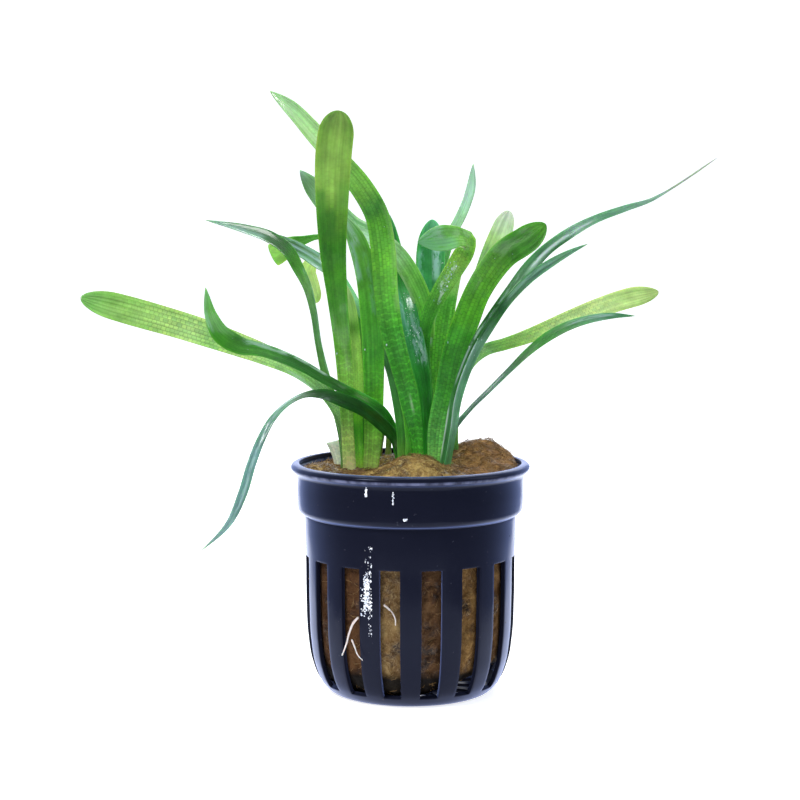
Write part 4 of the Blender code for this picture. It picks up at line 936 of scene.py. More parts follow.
# The leaves.
# Soft strap leaves, each grown from one of three crowns: spongy and thick at the foot, thin at the
# tip, faintly channelled, with lengthwise veins joined by cross veins.
LEAVES = {
    "leaf_tall": (5.5, [
        (-14.0, -3.2, 51.6, 3.0, 0), (-14.6, -3.8, 63.5, 3.0, 0), (-14.9, -5.0, 73.0, 3.6, 0),
        (-15.6, -7.5, 82.5, 3.9, 0), (-16.5, -10.5, 92.0, 4.6, 0), (-17.4, -12.5, 103.0, 6.0, 0),
        (-17.5, -13.5, 113.5, 7.3, 0), (-17.1, -14.5, 124.0, 8.1, 0), (-15.8, -16.0, 133.5, 7.8, 0),
    ]),
    "leaf_second": (8.0, [
        (-9.2, -1.6, 51.6, 3.6, 0), (-8.6, -1.2, 60.0, 4.2, 0), (-8.5, -1.0, 70.0, 4.7, 0),
        (-8.6, -1.5, 80.5, 5.1, 0), (-9.2, -2.5, 90.0, 5.1, 0), (-10.1, -3.2, 97.0, 4.9, 0),
        (-11.3, -3.8, 102.0, 4.7, 0), (-12.8, -4.4, 106.0, 4.2, 0), (-15.2, -5.0, 110.5, 3.2, 0),
    ]),
    "leaf_between": (7.0, [
        (-12.0, 0.8, 51.6, 2.9, 0), (-12.6, 1.8, 60.5, 3.0, 0), (-12.6, 2.8, 70.0, 3.3, 0),
        (-13.1, 4.0, 79.0, 3.5, 0), (-14.0, 5.2, 87.0, 3.5, 0), (-15.2, 6.4, 94.5, 3.1, 0),
    ]),
    "leaf_young_left": (5.0, [
        (-10.6, 3.2, 51.6, 1.9, 0), (-11.2, 5.2, 67.0, 2.4, 0), (-11.7, 7.6, 78.0, 2.8, 0),
        (-12.0, 10.2, 87.5, 2.6, 0),
    ]),
    "leaf_pale_left": (8.0, [
        (-15.2, -0.6, 51.6, 2.0, 0), (-15.2, -0.6, 57.5, 2.1, 0), (-16.0, -0.4, 62.6, 2.3, 0),
        (-17.9, 0.2, 66.8, 2.5, 0), (-21.5, 1.2, 71.0, 2.9, 5), (-26.8, 2.6, 74.8, 3.6, 10),
        (-33.4, 4.0, 77.8, 4.8, 15), (-40.7, 5.5, 80.4, 5.8, 20), (-48.3, 7.0, 82.9, 6.5, 20),
        (-57.0, 8.0, 85.6, 6.8, 20), (-66.5, 9.0, 88.2, 6.9, 20), (-77.8, 10.0, 91.2, 6.0, 20),
    ]),
    "leaf_arch_left": (14.0, [
        (-15.0, 1.6, 51.6, 1.9, 0), (-16.2, 1.8, 60.8, 2.0, 20), (-17.8, 2.6, 66.7, 2.1, 30),
        (-19.9, 4.0, 73.4, 2.1, 30), (-21.6, 5.6, 80.5, 1.9, 40), (-22.8, 7.8, 88.0, 1.9, 35),
        (-24.3, 9.8, 93.6, 2.3, 25), (-26.6, 11.8, 98.2, 2.9, 20), (-29.0, 13.6, 102.2, 3.2, 20),
        (-33.2, 16.0, 105.2, 3.1, 20), (-39.0, 18.5, 107.1, 2.5, 20), (-49.6, 22.0, 109.4, 1.6, 30),
    ]),
    "leaf_folded_left": (0.8, [
        (-13.4, 5.0, 51.6, 2.4, 0), (-14.9, 9.0, 67.0, 2.9, 0), (-16.7, 14.0, 83.0, 3.6, 0),
        (-18.0, 19.5, 96.0, 3.6, 20), (-19.2, 23.0, 103.0, 2.2, 20), (-21.7, 24.5, 105.2, 1.3, 0),
        (-25.7, 24.8, 104.5, 2.2, 0), (-29.6, 25.2, 103.1, 4.4, 0), (-32.2, 25.6, 101.4, 5.6, 0),
        (-33.8, 26.0, 100.6, 5.8, 0),
    ]),
    "leaf_hanging_tip": (2.5, [
        (-11.6, 6.6, 51.6, 2.2, 0), (-13.6, 11.0, 68.0, 2.8, 0), (-15.6, 17.5, 84.0, 3.4, 0),
        (-17.8, 25.0, 94.0, 3.4, 10), (-20.4, 30.5, 98.4, 2.8, 20), (-23.6, 33.0, 99.2, 3.2, 20),
        (-25.3, 33.6, 96.6, 4.4, 5), (-24.4, 34.0, 92.8, 4.2, 0), (-23.0, 34.2, 88.8, 3.2, 0),
    ]),
    "leaf_long": (9.0, [
        (1.9, -3.4, 54.2, 2.3, 0), (1.2, -4.4, 61.4, 3.3, 0), (-0.2, -5.0, 68.5, 4.4, 0),
        (-2.3, -5.5, 76.5, 4.7, 0), (-4.3, -6.0, 84.5, 5.2, 0), (-5.6, -6.0, 93.5, 5.5, 0),
        (-6.2, -5.5, 102.6, 5.7, 0), (-7.7, -4.0, 110.6, 5.5, 0), (-11.2, -2.0, 116.8, 5.3, 0),
        (-16.3, 0.5, 122.8, 5.0, 0), (-22.2, 4.0, 129.4, 4.5, 0), (-27.6, 7.0, 135.2, 3.6, 0),
        (-32.8, 10.0, 139.4, 2.6, 0),
    ]),
    "leaf_parallel": (6.0, [
        (3.2, 6.6, 54.2, 2.2, 0), (4.0, 8.8, 67.5, 2.8, 0), (4.1, 9.6, 79.5, 3.0, 0),
        (3.4, 7.4, 88.5, 4.3, 0), (0.4, 6.8, 96.0, 4.6, 10), (-3.4, 6.2, 101.5, 4.8, 20),
        (-8.2, 6.0, 105.2, 5.0, 20), (-13.7, 6.4, 107.8, 5.4, 10), (-18.8, 7.0, 112.6, 5.4, 0),
        (-22.6, 7.6, 117.0, 4.4, 0), (-25.8, 8.4, 121.0, 2.6, 0),
    ]),
    "leaf_glossy": (9.0, [
        (3.3, -0.4, 54.2, 2.0, 0), (3.8, -0.2, 62.0, 2.6, 0), (3.3, 0.6, 70.0, 3.4, 0),
        (1.7, 1.9, 77.8, 4.6, 0), (-0.2, 5.0, 85.5, 5.0, 0), (-2.2, 9.6, 93.5, 5.0, 0),
        (-4.1, 11.4, 102.0, 4.6, 0), (-6.0, 12.0, 109.0, 4.1, 0), (-7.8, 12.4, 114.5, 3.0, 0),
    ]),
    "leaf_crossing": (10.0, [
        (-2.0, -5.0, 54.2, 1.8, 0), (-2.4, -5.2, 62.3, 1.9, 0), (-3.6, -3.4, 69.2, 1.7, 20),
        (-5.2, 0.2, 75.5, 1.7, 30), (-7.8, 3.6, 81.5, 1.9, 30), (-11.4, 7.2, 87.5, 2.2, 30),
        (-14.9, 11.6, 93.0, 2.6, 30), (-18.3, 14.2, 97.0, 3.3, 20), (-21.9, 16.4, 99.6, 3.6, 15),
        (-26.8, 18.6, 102.5, 3.2, 15), (-31.6, 20.4, 104.8, 2.6, 20), (-36.2, 22.4, 107.0, 2.0, 20),
    ]),
    "leaf_short_middle": (7.0, [
        (-0.1, -3.2, 54.2, 1.8, 0), (-1.3, -2.6, 62.3, 1.9, 0), (-2.9, -0.4, 68.5, 1.9, 10),
        (-4.6, 2.4, 75.5, 1.8, 20), (-6.2, 5.6, 84.0, 1.8, 20),
    ]),
    "leaf_hooked": (9.0, [
        (-2.6, 1.6, 54.2, 2.0, 10), (-4.2, -0.2, 61.2, 2.3, 10), (-6.4, -3.0, 65.4, 2.3, 10),
        (-10.3, -5.8, 68.5, 2.3, 0), (-14.8, -8.4, 71.0, 2.3, 0), (-19.4, -10.8, 73.7, 2.4, 10),
        (-24.1, -13.2, 76.7, 2.7, 20), (-28.6, -15.4, 79.0, 3.0, 25), (-33.4, -17.4, 80.8, 3.4, 30),
        (-38.2, -19.4, 82.0, 4.2, 20), (-41.8, -21.2, 84.6, 4.2, 0), (-43.7, -23.0, 88.6, 3.0, 0),
        (-44.7, -25.0, 95.0, 2.2, 0),
    ]),
    "leaf_drooping": (16.0, [
        (-1.8, -1.6, 54.2, 2.0, 0), (-3.5, -2.6, 59.0, 2.5, 5), (-6.4, -4.6, 62.5, 3.0, 5),
        (-10.5, -7.4, 66.2, 3.1, 0), (-15.5, -10.0, 68.8, 3.1, 10), (-20.2, -12.4, 70.4, 2.6, 35),
        (-24.0, -14.2, 70.2, 1.9, 55), (-27.4, -16.0, 68.6, 1.8, 55), (-30.6, -18.0, 65.6, 1.9, 40),
        (-33.2, -20.2, 61.0, 2.0, 20), (-35.0, -22.2, 56.4, 2.1, 10), (-37.0, -25.0, 49.6, 2.1, 0),
        (-39.6, -28.0, 43.8, 1.7, 0), (-46.2, -32.0, 37.4, 1.0, 0),
    ]),
    "leaf_curled": (5.0, [
        (5.6, 2.2, 53.6, 2.0, 0), (4.6, 3.4, 63.0, 2.3, 0), (3.9, 4.4, 72.0, 2.4, 0),
        (3.3, 4.6, 79.0, 2.6, 0), (3.9, 4.2, 86.0, 3.1, 0), (6.8, 4.4, 92.5, 4.0, 0),
        (10.6, 5.6, 98.5, 4.5, 0), (12.7, 6.4, 102.4, 4.9, 25), (13.2, 4.6, 104.7, 4.8, 50),
        (11.2, 2.6, 105.5, 5.3, 35), (8.2, 0.8, 105.3, 6.2, 15), (4.8, -1.2, 104.9, 5.2, 0),
        (1.6, -2.8, 104.4, 3.0, 0),
    ]),
    "leaf_dark_back": (6.0, [
        (6.8, 9.6, 53.6, 2.4, 0), (5.6, 12.2, 67.0, 3.3, 0), (5.3, 15.0, 81.0, 4.8, 0),
        (4.9, 18.0, 92.5, 6.4, 0), (5.0, 21.0, 101.0, 7.0, 0), (5.5, 24.0, 109.5, 5.0, 0),
    ]),
    "leaf_thin_upright": (8.0, [
        (9.0, 10.8, 53.6, 1.4, 0), (7.8, 14.0, 67.0, 1.9, 0), (7.0, 18.0, 81.0, 2.0, 0),
        (7.2, 21.6, 91.5, 2.2, 0), (8.2, 23.4, 99.5, 2.3, 0), (10.2, 24.6, 106.0, 2.5, 0),
        (12.9, 25.6, 111.4, 2.5, 0), (14.8, 26.8, 116.8, 2.4, 0), (15.5, 28.4, 123.2, 2.0, 0),
    ]),
    "leaf_pale_middle": (5.0, [
        (7.6, 6.2, 53.6, 2.8, 0), (6.9, 7.2, 62.6, 3.8, 0), (6.7, 8.0, 72.0, 4.7, 0),
        (7.1, 9.0, 80.2, 5.2, 0), (8.3, 10.4, 88.3, 4.7, 0), (9.8, 12.0, 95.3, 4.2, 0),
        (11.5, 13.4, 100.6, 3.2, 0),
    ]),
    "leaf_broad": (6.0, [
        (5.8, -4.8, 53.8, 3.8, 0), (6.4, -6.0, 62.0, 4.8, 0), (8.2, -7.0, 70.4, 5.4, 0),
        (9.9, -8.0, 78.7, 5.8, 0), (12.4, -9.0, 86.4, 6.1, 0), (15.0, -10.4, 93.2, 5.9, 0),
        (17.9, -12.4, 98.2, 6.1, 0), (20.9, -15.2, 102.0, 6.3, 0), (25.1, -19.0, 105.0, 6.2, 0),
        (29.3, -23.0, 108.6, 5.2, 0),
    ]),
    "leaf_pale_tip": (6.0, [
        (10.0, 7.4, 53.6, 1.9, 0), (10.2, 11.5, 67.0, 2.6, 0), (12.0, 18.0, 80.5, 3.2, 0),
        (16.6, 27.0, 92.5, 4.2, 0), (21.4, 35.0, 103.0, 5.6, 0), (25.2, 42.0, 111.6, 4.8, 0),
    ]),
    "leaf_thread_tip": (8.0, [
        (7.6, -6.4, 53.6, 2.0, 0), (8.9, -8.6, 62.0, 2.2, 0), (10.3, -9.6, 70.3, 2.2, 0),
        (12.6, -9.8, 77.2, 2.4, 0), (15.3, -9.4, 82.6, 2.7, 0), (18.9, -8.2, 87.8, 3.0, 0),
        (22.9, -5.6, 93.2, 3.0, 0), (27.1, -2.0, 98.4, 3.3, 10), (31.5, 2.0, 102.6, 3.1, 20),
        (36.8, 6.0, 106.2, 2.9, 20), (43.5, 10.0, 109.6, 2.2, 20), (51.0, 13.6, 112.2, 1.7, 20),
        (57.5, 16.4, 114.2, 1.05, 20), (61.4, 18.2, 116.2, 0.62, 10), (65.4, 20.0, 118.6, 0.5, 0),
        (74.4, 23.0, 124.5, 0.5, 0),
    ]),
    "leaf_inner_right": (12.0, [
        (8.4, -7.6, 53.6, 1.5, 0), (9.8, -10.2, 62.5, 1.6, 10), (10.7, -11.4, 69.0, 1.8, 10),
        (12.4, -12.0, 74.8, 2.0, 20), (14.8, -12.6, 80.4, 2.1, 20), (17.8, -12.8, 85.6, 2.1, 20),
        (21.5, -12.8, 91.2, 2.2, 20), (26.0, -12.6, 96.0, 2.3, 20), (31.2, -12.4, 99.8, 2.2, 20),
        (35.8, -12.2, 102.4, 1.9, 20), (39.8, -12.0, 104.2, 1.6, 20),
    ]),
    "leaf_pale_right": (7.0, [
        (10.4, 4.6, 53.6, 1.9, 0), (10.4, 6.4, 62.0, 2.1, 0), (11.6, 9.2, 70.2, 2.4, 0),
        (14.4, 12.6, 75.6, 2.6, 0), (18.2, 16.0, 78.4, 2.9, -5), (22.9, 18.6, 79.6, 3.0, -10),
        (27.8, 21.0, 81.0, 3.5, -15), (33.3, 23.2, 82.9, 4.1, -20), (39.5, 25.4, 85.2, 4.7, -20),
        (46.6, 28.0, 87.9, 5.0, -20), (53.9, 30.8, 90.0, 5.2, -20), (61.8, 33.0, 91.6, 4.6, -20),
    ]),
    "leaf_low_right": (12.0, [
        (7.6, -0.2, 53.6, 1.5, 0), (9.2, -0.4, 59.6, 1.5, 20), (13.8, -0.4, 65.8, 1.5, 40),
        (18.3, -1.4, 70.4, 1.6, 40), (22.8, -3.2, 75.2, 1.7, 35), (27.3, -5.0, 79.8, 2.0, 20),
        (31.7, -6.6, 83.3, 2.4, 10), (36.1, -8.0, 85.7, 2.3, 10), (40.5, -9.4, 87.2, 2.1, 20),
        (45.3, -10.8, 88.0, 2.0, 20), (50.6, -12.0, 88.0, 1.7, 20),
    ]),
}
BLADE_COLUMNS = 14
BLADE_STEP = 0.9
BLADE_THICKNESS = 0.46
FOOT_THICKNESS = 1.5
FOOT_LENGTH = 16.0
TIP_RINGS = 14

# How strongly painted highlights on the cross ribs lighten the lower part of a leaf
LEAF_RIB_HIGHLIGHTS = {"leaf_long": 0.45, "leaf_tall": 0.30, "leaf_second": 0.22, "leaf_broad": 0.2}

# Strength of the veins and of the paler middle, then colours from the foot (0) to the tip (1). The colours
# are partly each leaf's own tone and partly painted light: dark stops are painted shade where other leaves
# lie behind or over a blade, the feet are painted lighter to make up for the shade on them, and the bluish
# stops are painted sheen.
LEAF_TONES_AND_PAINTED_LIGHT = {
    "leaf_tall": (0.3, 0.2, [
        (0.0, (0.90, 0.95, 0.40)), (0.08, (0.50, 0.76, 0.17)), (0.16, (0.18, 0.40, 0.06)),
        (0.26, (0.25, 0.51, 0.08)), (0.36, (0.10, 0.31, 0.02)), (0.46, (0.055, 0.24, 0.015)),
        (0.58, (0.055, 0.225, 0.015)), (0.63, (0.04, 0.18, 0.012)), (0.72, (0.12, 0.28, 0.032)),
        (0.80, (0.28, 0.45, 0.085)), (0.90, (0.28, 0.43, 0.08)), (1.0, (0.22, 0.33, 0.075)),
    ]),
    "leaf_second": (0.3, 0.1, [
        (0.0, (0.50, 0.72, 0.16)), (0.1, (0.30, 0.64, 0.09)), (0.2, (0.18, 0.53, 0.05)),
        (0.34, (0.13, 0.47, 0.034)), (0.45, (0.082, 0.37, 0.028)), (0.6, (0.11, 0.41, 0.042)),
        (0.72, (0.12, 0.37, 0.045)), (0.88, (0.16, 0.41, 0.07)), (1.0, (0.28, 0.46, 0.26)),
    ]),
    "leaf_between": (0.4, 0.1, [
        (0.0, (0.40, 0.70, 0.1)), (0.1, (0.2, 0.6, 0.05)), (0.2, (0.09, 0.39, 0.024)),
        (0.3, (0.12, 0.36, 0.022)), (0.45, (0.28, 0.53, 0.09)), (0.68, (0.25, 0.46, 0.08)),
        (0.76, (0.1, 0.26, 0.03)), (0.84, (0.29, 0.5, 0.12)), (1.0, (0.42, 0.55, 0.24)),
    ]),
    "leaf_young_left": (0.3, 0.1, [
        (0.0, (0.12, 0.34, 0.06)), (1.0, (0.06, 0.26, 0.03)),
    ]),
    "leaf_pale_left": (0.8, 0.1, [
        (0.0, (0.16, 0.36, 0.09)), (0.25, (0.16, 0.34, 0.12)), (0.32, (0.19, 0.42, 0.10)),
        (0.4, (0.27, 0.48, 0.17)), (0.5, (0.30, 0.45, 0.16)), (0.6, (0.21, 0.41, 0.12)),
        (0.66, (0.36, 0.56, 0.20)), (0.74, (0.29, 0.46, 0.14)), (0.88, (0.27, 0.47, 0.11)),
        (1.0, (0.18, 0.4, 0.09)),
    ]),
    "leaf_arch_left": (0.3, 0.1, [
        (0.0, (0.06, 0.24, 0.03)), (0.32, (0.11, 0.27, 0.06)), (0.45, (0.1, 0.265, 0.08)),
        (0.55, (0.12, 0.26, 0.075)), (0.64, (0.055, 0.21, 0.02)), (0.72, (0.021, 0.105, 0.012)),
        (0.77, (0.03, 0.11, 0.03)), (0.82, (0.085, 0.2, 0.1)), (0.9, (0.14, 0.27, 0.19)),
        (1.0, (0.15, 0.3, 0.19)),
    ]),
    "leaf_folded_left": (0.3, 0.1, [
        (0.0, (0.08, 0.26, 0.04)), (0.7, (0.08, 0.26, 0.04)), (0.8, (0.08, 0.28, 0.035)),
        (0.90, (0.09, 0.30, 0.04)), (0.935, (0.40, 0.68, 0.14)), (1.0, (0.44, 0.74, 0.17)),
    ]),
    "leaf_hanging_tip": (0.4, 0.1, [
        (0.0, (0.1, 0.3, 0.05)), (0.6, (0.3, 0.5, 0.12)), (0.88, (0.55, 0.72, 0.24)),
        (0.95, (0.68, 0.8, 0.36)), (1.0, (0.6, 0.78, 0.26)),
    ]),
    "leaf_long": (0.55, 0.1, [
        (0.0, (0.1, 0.53, 0.05)), (0.1, (0.056, 0.345, 0.032)), (0.2, (0.043, 0.25, 0.019)),
        (0.3, (0.054, 0.28, 0.026)), (0.36, (0.078, 0.335, 0.027)), (0.42, (0.135, 0.46, 0.045)),
        (0.5, (0.2, 0.58, 0.06)), (0.555, (0.148, 0.45, 0.047)), (0.6, (0.062, 0.235, 0.034)),
        (0.65, (0.13, 0.33, 0.045)), (0.72, (0.18, 0.40, 0.07)), (0.85, (0.34, 0.56, 0.22)),
        (0.95, (0.33, 0.54, 0.25)), (1.0, (0.30, 0.50, 0.22)),
    ]),
    "leaf_parallel": (0.3, 0.1, [
        (0.0, (0.1, 0.34, 0.04)), (0.25, (0.22, 0.56, 0.08)), (0.35, (0.28, 0.64, 0.11)),
        (0.45, (0.25, 0.6, 0.1)), (0.55, (0.235, 0.55, 0.11)), (0.62, (0.38, 0.66, 0.30)),
        (0.75, (0.42, 0.60, 0.44)), (0.85, (0.24, 0.42, 0.24)), (0.95, (0.175, 0.315, 0.145)),
        (1.0, (0.25, 0.37, 0.28)),
    ]),
    "leaf_glossy": (0.3, 0.0, [
        (0.0, (0.07, 0.46, 0.06)), (0.1, (0.03, 0.26, 0.02)), (0.2, (0.035, 0.28, 0.026)),
        (0.32, (0.045, 0.31, 0.045)), (0.42, (0.07, 0.36, 0.11)), (0.5, (0.06, 0.32, 0.12)),
        (0.6, (0.045, 0.29, 0.08)), (0.7, (0.037, 0.24, 0.04)), (1.0, (0.08, 0.3, 0.15)),
    ]),
    "leaf_crossing": (0.3, 0.1, [
        (0.0, (0.16, 0.46, 0.06)), (0.1, (0.05, 0.28, 0.027)), (0.2, (0.04, 0.19, 0.03)),
        (0.3, (0.025, 0.14, 0.02)), (0.5, (0.14, 0.38, 0.14)), (0.58, (0.14, 0.38, 0.16)),
        (0.75, (0.09, 0.24, 0.11)), (0.8, (0.1, 0.25, 0.11)), (0.87, (0.046, 0.15, 0.045)),
        (1.0, (0.09, 0.24, 0.1)),
    ]),
    "leaf_short_middle": (0.3, 0.1, [
        (0.0, (0.3, 0.8, 0.16)), (0.1, (0.28, 0.8, 0.11)), (0.2, (0.22, 0.7, 0.08)),
        (0.5, (0.12, 0.45, 0.05)), (1.0, (0.06, 0.28, 0.04)),
    ]),
    "leaf_hooked": (0.3, 0.1, [
        (0.0, (0.06, 0.36, 0.04)), (0.2, (0.07, 0.4, 0.045)), (0.28, (0.08, 0.48, 0.035)),
        (0.34, (0.04, 0.26, 0.015)), (0.4, (0.03, 0.17, 0.014)), (0.57, (0.033, 0.18, 0.02)),
        (0.66, (0.06, 0.24, 0.03)), (0.77, (0.058, 0.235, 0.022)), (0.85, (0.062, 0.29, 0.015)),
        (0.92, (0.15, 0.40, 0.08)), (1.0, (0.24, 0.48, 0.20)),
    ]),
    "leaf_drooping": (0.2, 0.0, [
        (0.0, (0.035, 0.18, 0.035)), (0.1, (0.03, 0.2, 0.022)), (0.17, (0.012, 0.14, 0.01)),
        (0.25, (0.009, 0.092, 0.006)), (0.32, (0.016, 0.098, 0.01)), (0.38, (0.025, 0.09, 0.02)),
        (0.43, (0.06, 0.15, 0.06)), (0.49, (0.16, 0.34, 0.22)), (0.6, (0.1, 0.23, 0.18)),
        (0.66, (0.14, 0.29, 0.28)), (0.75, (0.14, 0.28, 0.26)), (0.82, (0.14, 0.25, 0.24)),
        (0.87, (0.25, 0.38, 0.38)), (1.0, (0.24, 0.32, 0.31)),
    ]),
    "leaf_curled": (0.7, 0.1, [
        (0.0, (0.03, 0.2, 0.02)), (0.35, (0.045, 0.27, 0.03)), (0.45, (0.076, 0.37, 0.031)),
        (0.5, (0.11, 0.45, 0.05)), (0.58, (0.15, 0.45, 0.065)), (0.65, (0.21, 0.45, 0.08)),
        (0.72, (0.26, 0.48, 0.08)), (0.78, (0.22, 0.48, 0.07)), (0.82, (0.16, 0.4, 0.055)),
        (0.88, (0.15, 0.44, 0.06)), (1.0, (0.12, 0.38, 0.1)),
    ]),
    "leaf_dark_back": (0.3, 0.0, [
        (0.0, (0.03, 0.2, 0.03)), (0.6, (0.05, 0.29, 0.08)), (0.72, (0.07, 0.34, 0.12)),
        (0.8, (0.052, 0.29, 0.083)), (0.88, (0.048, 0.29, 0.08)), (1.0, (0.12, 0.4, 0.2)),
    ]),
    "leaf_thin_upright": (0.3, 0.1, [
        (0.0, (0.06, 0.26, 0.04)), (0.6, (0.16, 0.42, 0.1)), (0.72, (0.22, 0.48, 0.19)),
        (0.8, (0.42, 0.68, 0.42)), (0.88, (0.46, 0.66, 0.52)), (1.0, (0.34, 0.50, 0.38)),
    ]),
    "leaf_pale_middle": (0.8, 0.1, [
        (0.0, (0.1, 0.36, 0.05)), (0.5, (0.128, 0.47, 0.044)), (0.65, (0.16, 0.5, 0.06)),
        (0.78, (0.14, 0.46, 0.07)), (0.84, (0.32, 0.58, 0.16)), (1.0, (0.46, 0.66, 0.25)),
    ]),
    "leaf_broad": (0.7, 0.1, [
        (0.0, (0.24, 0.64, 0.14)), (0.1, (0.14, 0.5, 0.1)), (0.16, (0.12, 0.48, 0.08)),
        (0.22, (0.07, 0.36, 0.04)), (0.3, (0.046, 0.275, 0.02)), (0.38, (0.04, 0.24, 0.016)),
        (0.46, (0.052, 0.3, 0.015)), (0.52, (0.082, 0.34, 0.017)), (0.62, (0.083, 0.315, 0.017)),
        (0.7, (0.086, 0.3, 0.017)), (0.76, (0.07, 0.245, 0.015)), (0.83, (0.036, 0.175, 0.009)),
        (0.9, (0.05, 0.2, 0.016)), (1.0, (0.075, 0.28, 0.018)),
    ]),
    "leaf_pale_tip": (0.4, 0.0, [
        (0.0, (0.2, 0.4, 0.1)), (0.78, (0.2, 0.36, 0.12)), (0.85, (0.38, 0.55, 0.19)),
        (0.92, (0.46, 0.56, 0.33)), (1.0, (0.62, 0.65, 0.52)),
    ]),
    "leaf_thread_tip": (0.2, 0.0, [
        (0.0, (0.12, 0.44, 0.14)), (0.12, (0.09, 0.32, 0.09)), (0.17, (0.04, 0.21, 0.03)),
        (0.27, (0.03, 0.15, 0.022)), (0.36, (0.03, 0.14, 0.025)), (0.42, (0.09, 0.22, 0.09)),
        (0.5, (0.075, 0.27, 0.09)), (0.55, (0.13, 0.34, 0.15)), (0.62, (0.33, 0.50, 0.38)),
        (0.7, (0.22, 0.44, 0.27)), (0.76, (0.3, 0.5, 0.37)), (0.83, (0.4, 0.52, 0.46)),
        (0.88, (0.42, 0.42, 0.40)), (1.0, (0.42, 0.38, 0.38)),
    ]),
    "leaf_inner_right": (0.2, 0.0, [
        (0.0, (0.14, 0.46, 0.18)), (0.15, (0.22, 0.5, 0.28)), (0.28, (0.14, 0.38, 0.19)),
        (0.36, (0.11, 0.28, 0.15)), (0.46, (0.14, 0.3, 0.18)), (0.52, (0.1, 0.24, 0.12)),
        (0.58, (0.035, 0.14, 0.035)), (0.61, (0.024, 0.11, 0.033)), (0.66, (0.09, 0.22, 0.1)),
        (0.8, (0.14, 0.31, 0.19)), (0.9, (0.18, 0.36, 0.22)), (1.0, (0.15, 0.28, 0.21)),
    ]),
    "leaf_pale_right": (0.7, 0.1, [
        (0.0, (0.16, 0.4, 0.08)), (0.38, (0.2, 0.42, 0.11)), (0.45, (0.22, 0.43, 0.085)),
        (0.55, (0.35, 0.54, 0.15)), (0.65, (0.44, 0.6, 0.24)), (0.78, (0.48, 0.61, 0.25)),
        (0.92, (0.49, 0.61, 0.22)), (1.0, (0.41, 0.5, 0.17)),
    ]),
    "leaf_low_right": (0.2, 0.0, [
        (0.0, (0.2, 0.4, 0.24)), (0.22, (0.23, 0.42, 0.3)), (0.28, (0.17, 0.28, 0.24)),
        (0.36, (0.12, 0.29, 0.18)), (0.44, (0.09, 0.22, 0.12)), (0.5, (0.058, 0.2, 0.053)),
        (0.6, (0.06, 0.26, 0.04)), (0.7, (0.094, 0.29, 0.08)), (0.8, (0.13, 0.33, 0.15)),
        (0.86, (0.15, 0.31, 0.2)), (0.91, (0.074, 0.22, 0.11)), (1.0, (0.058, 0.19, 0.087)),
    ]),
}
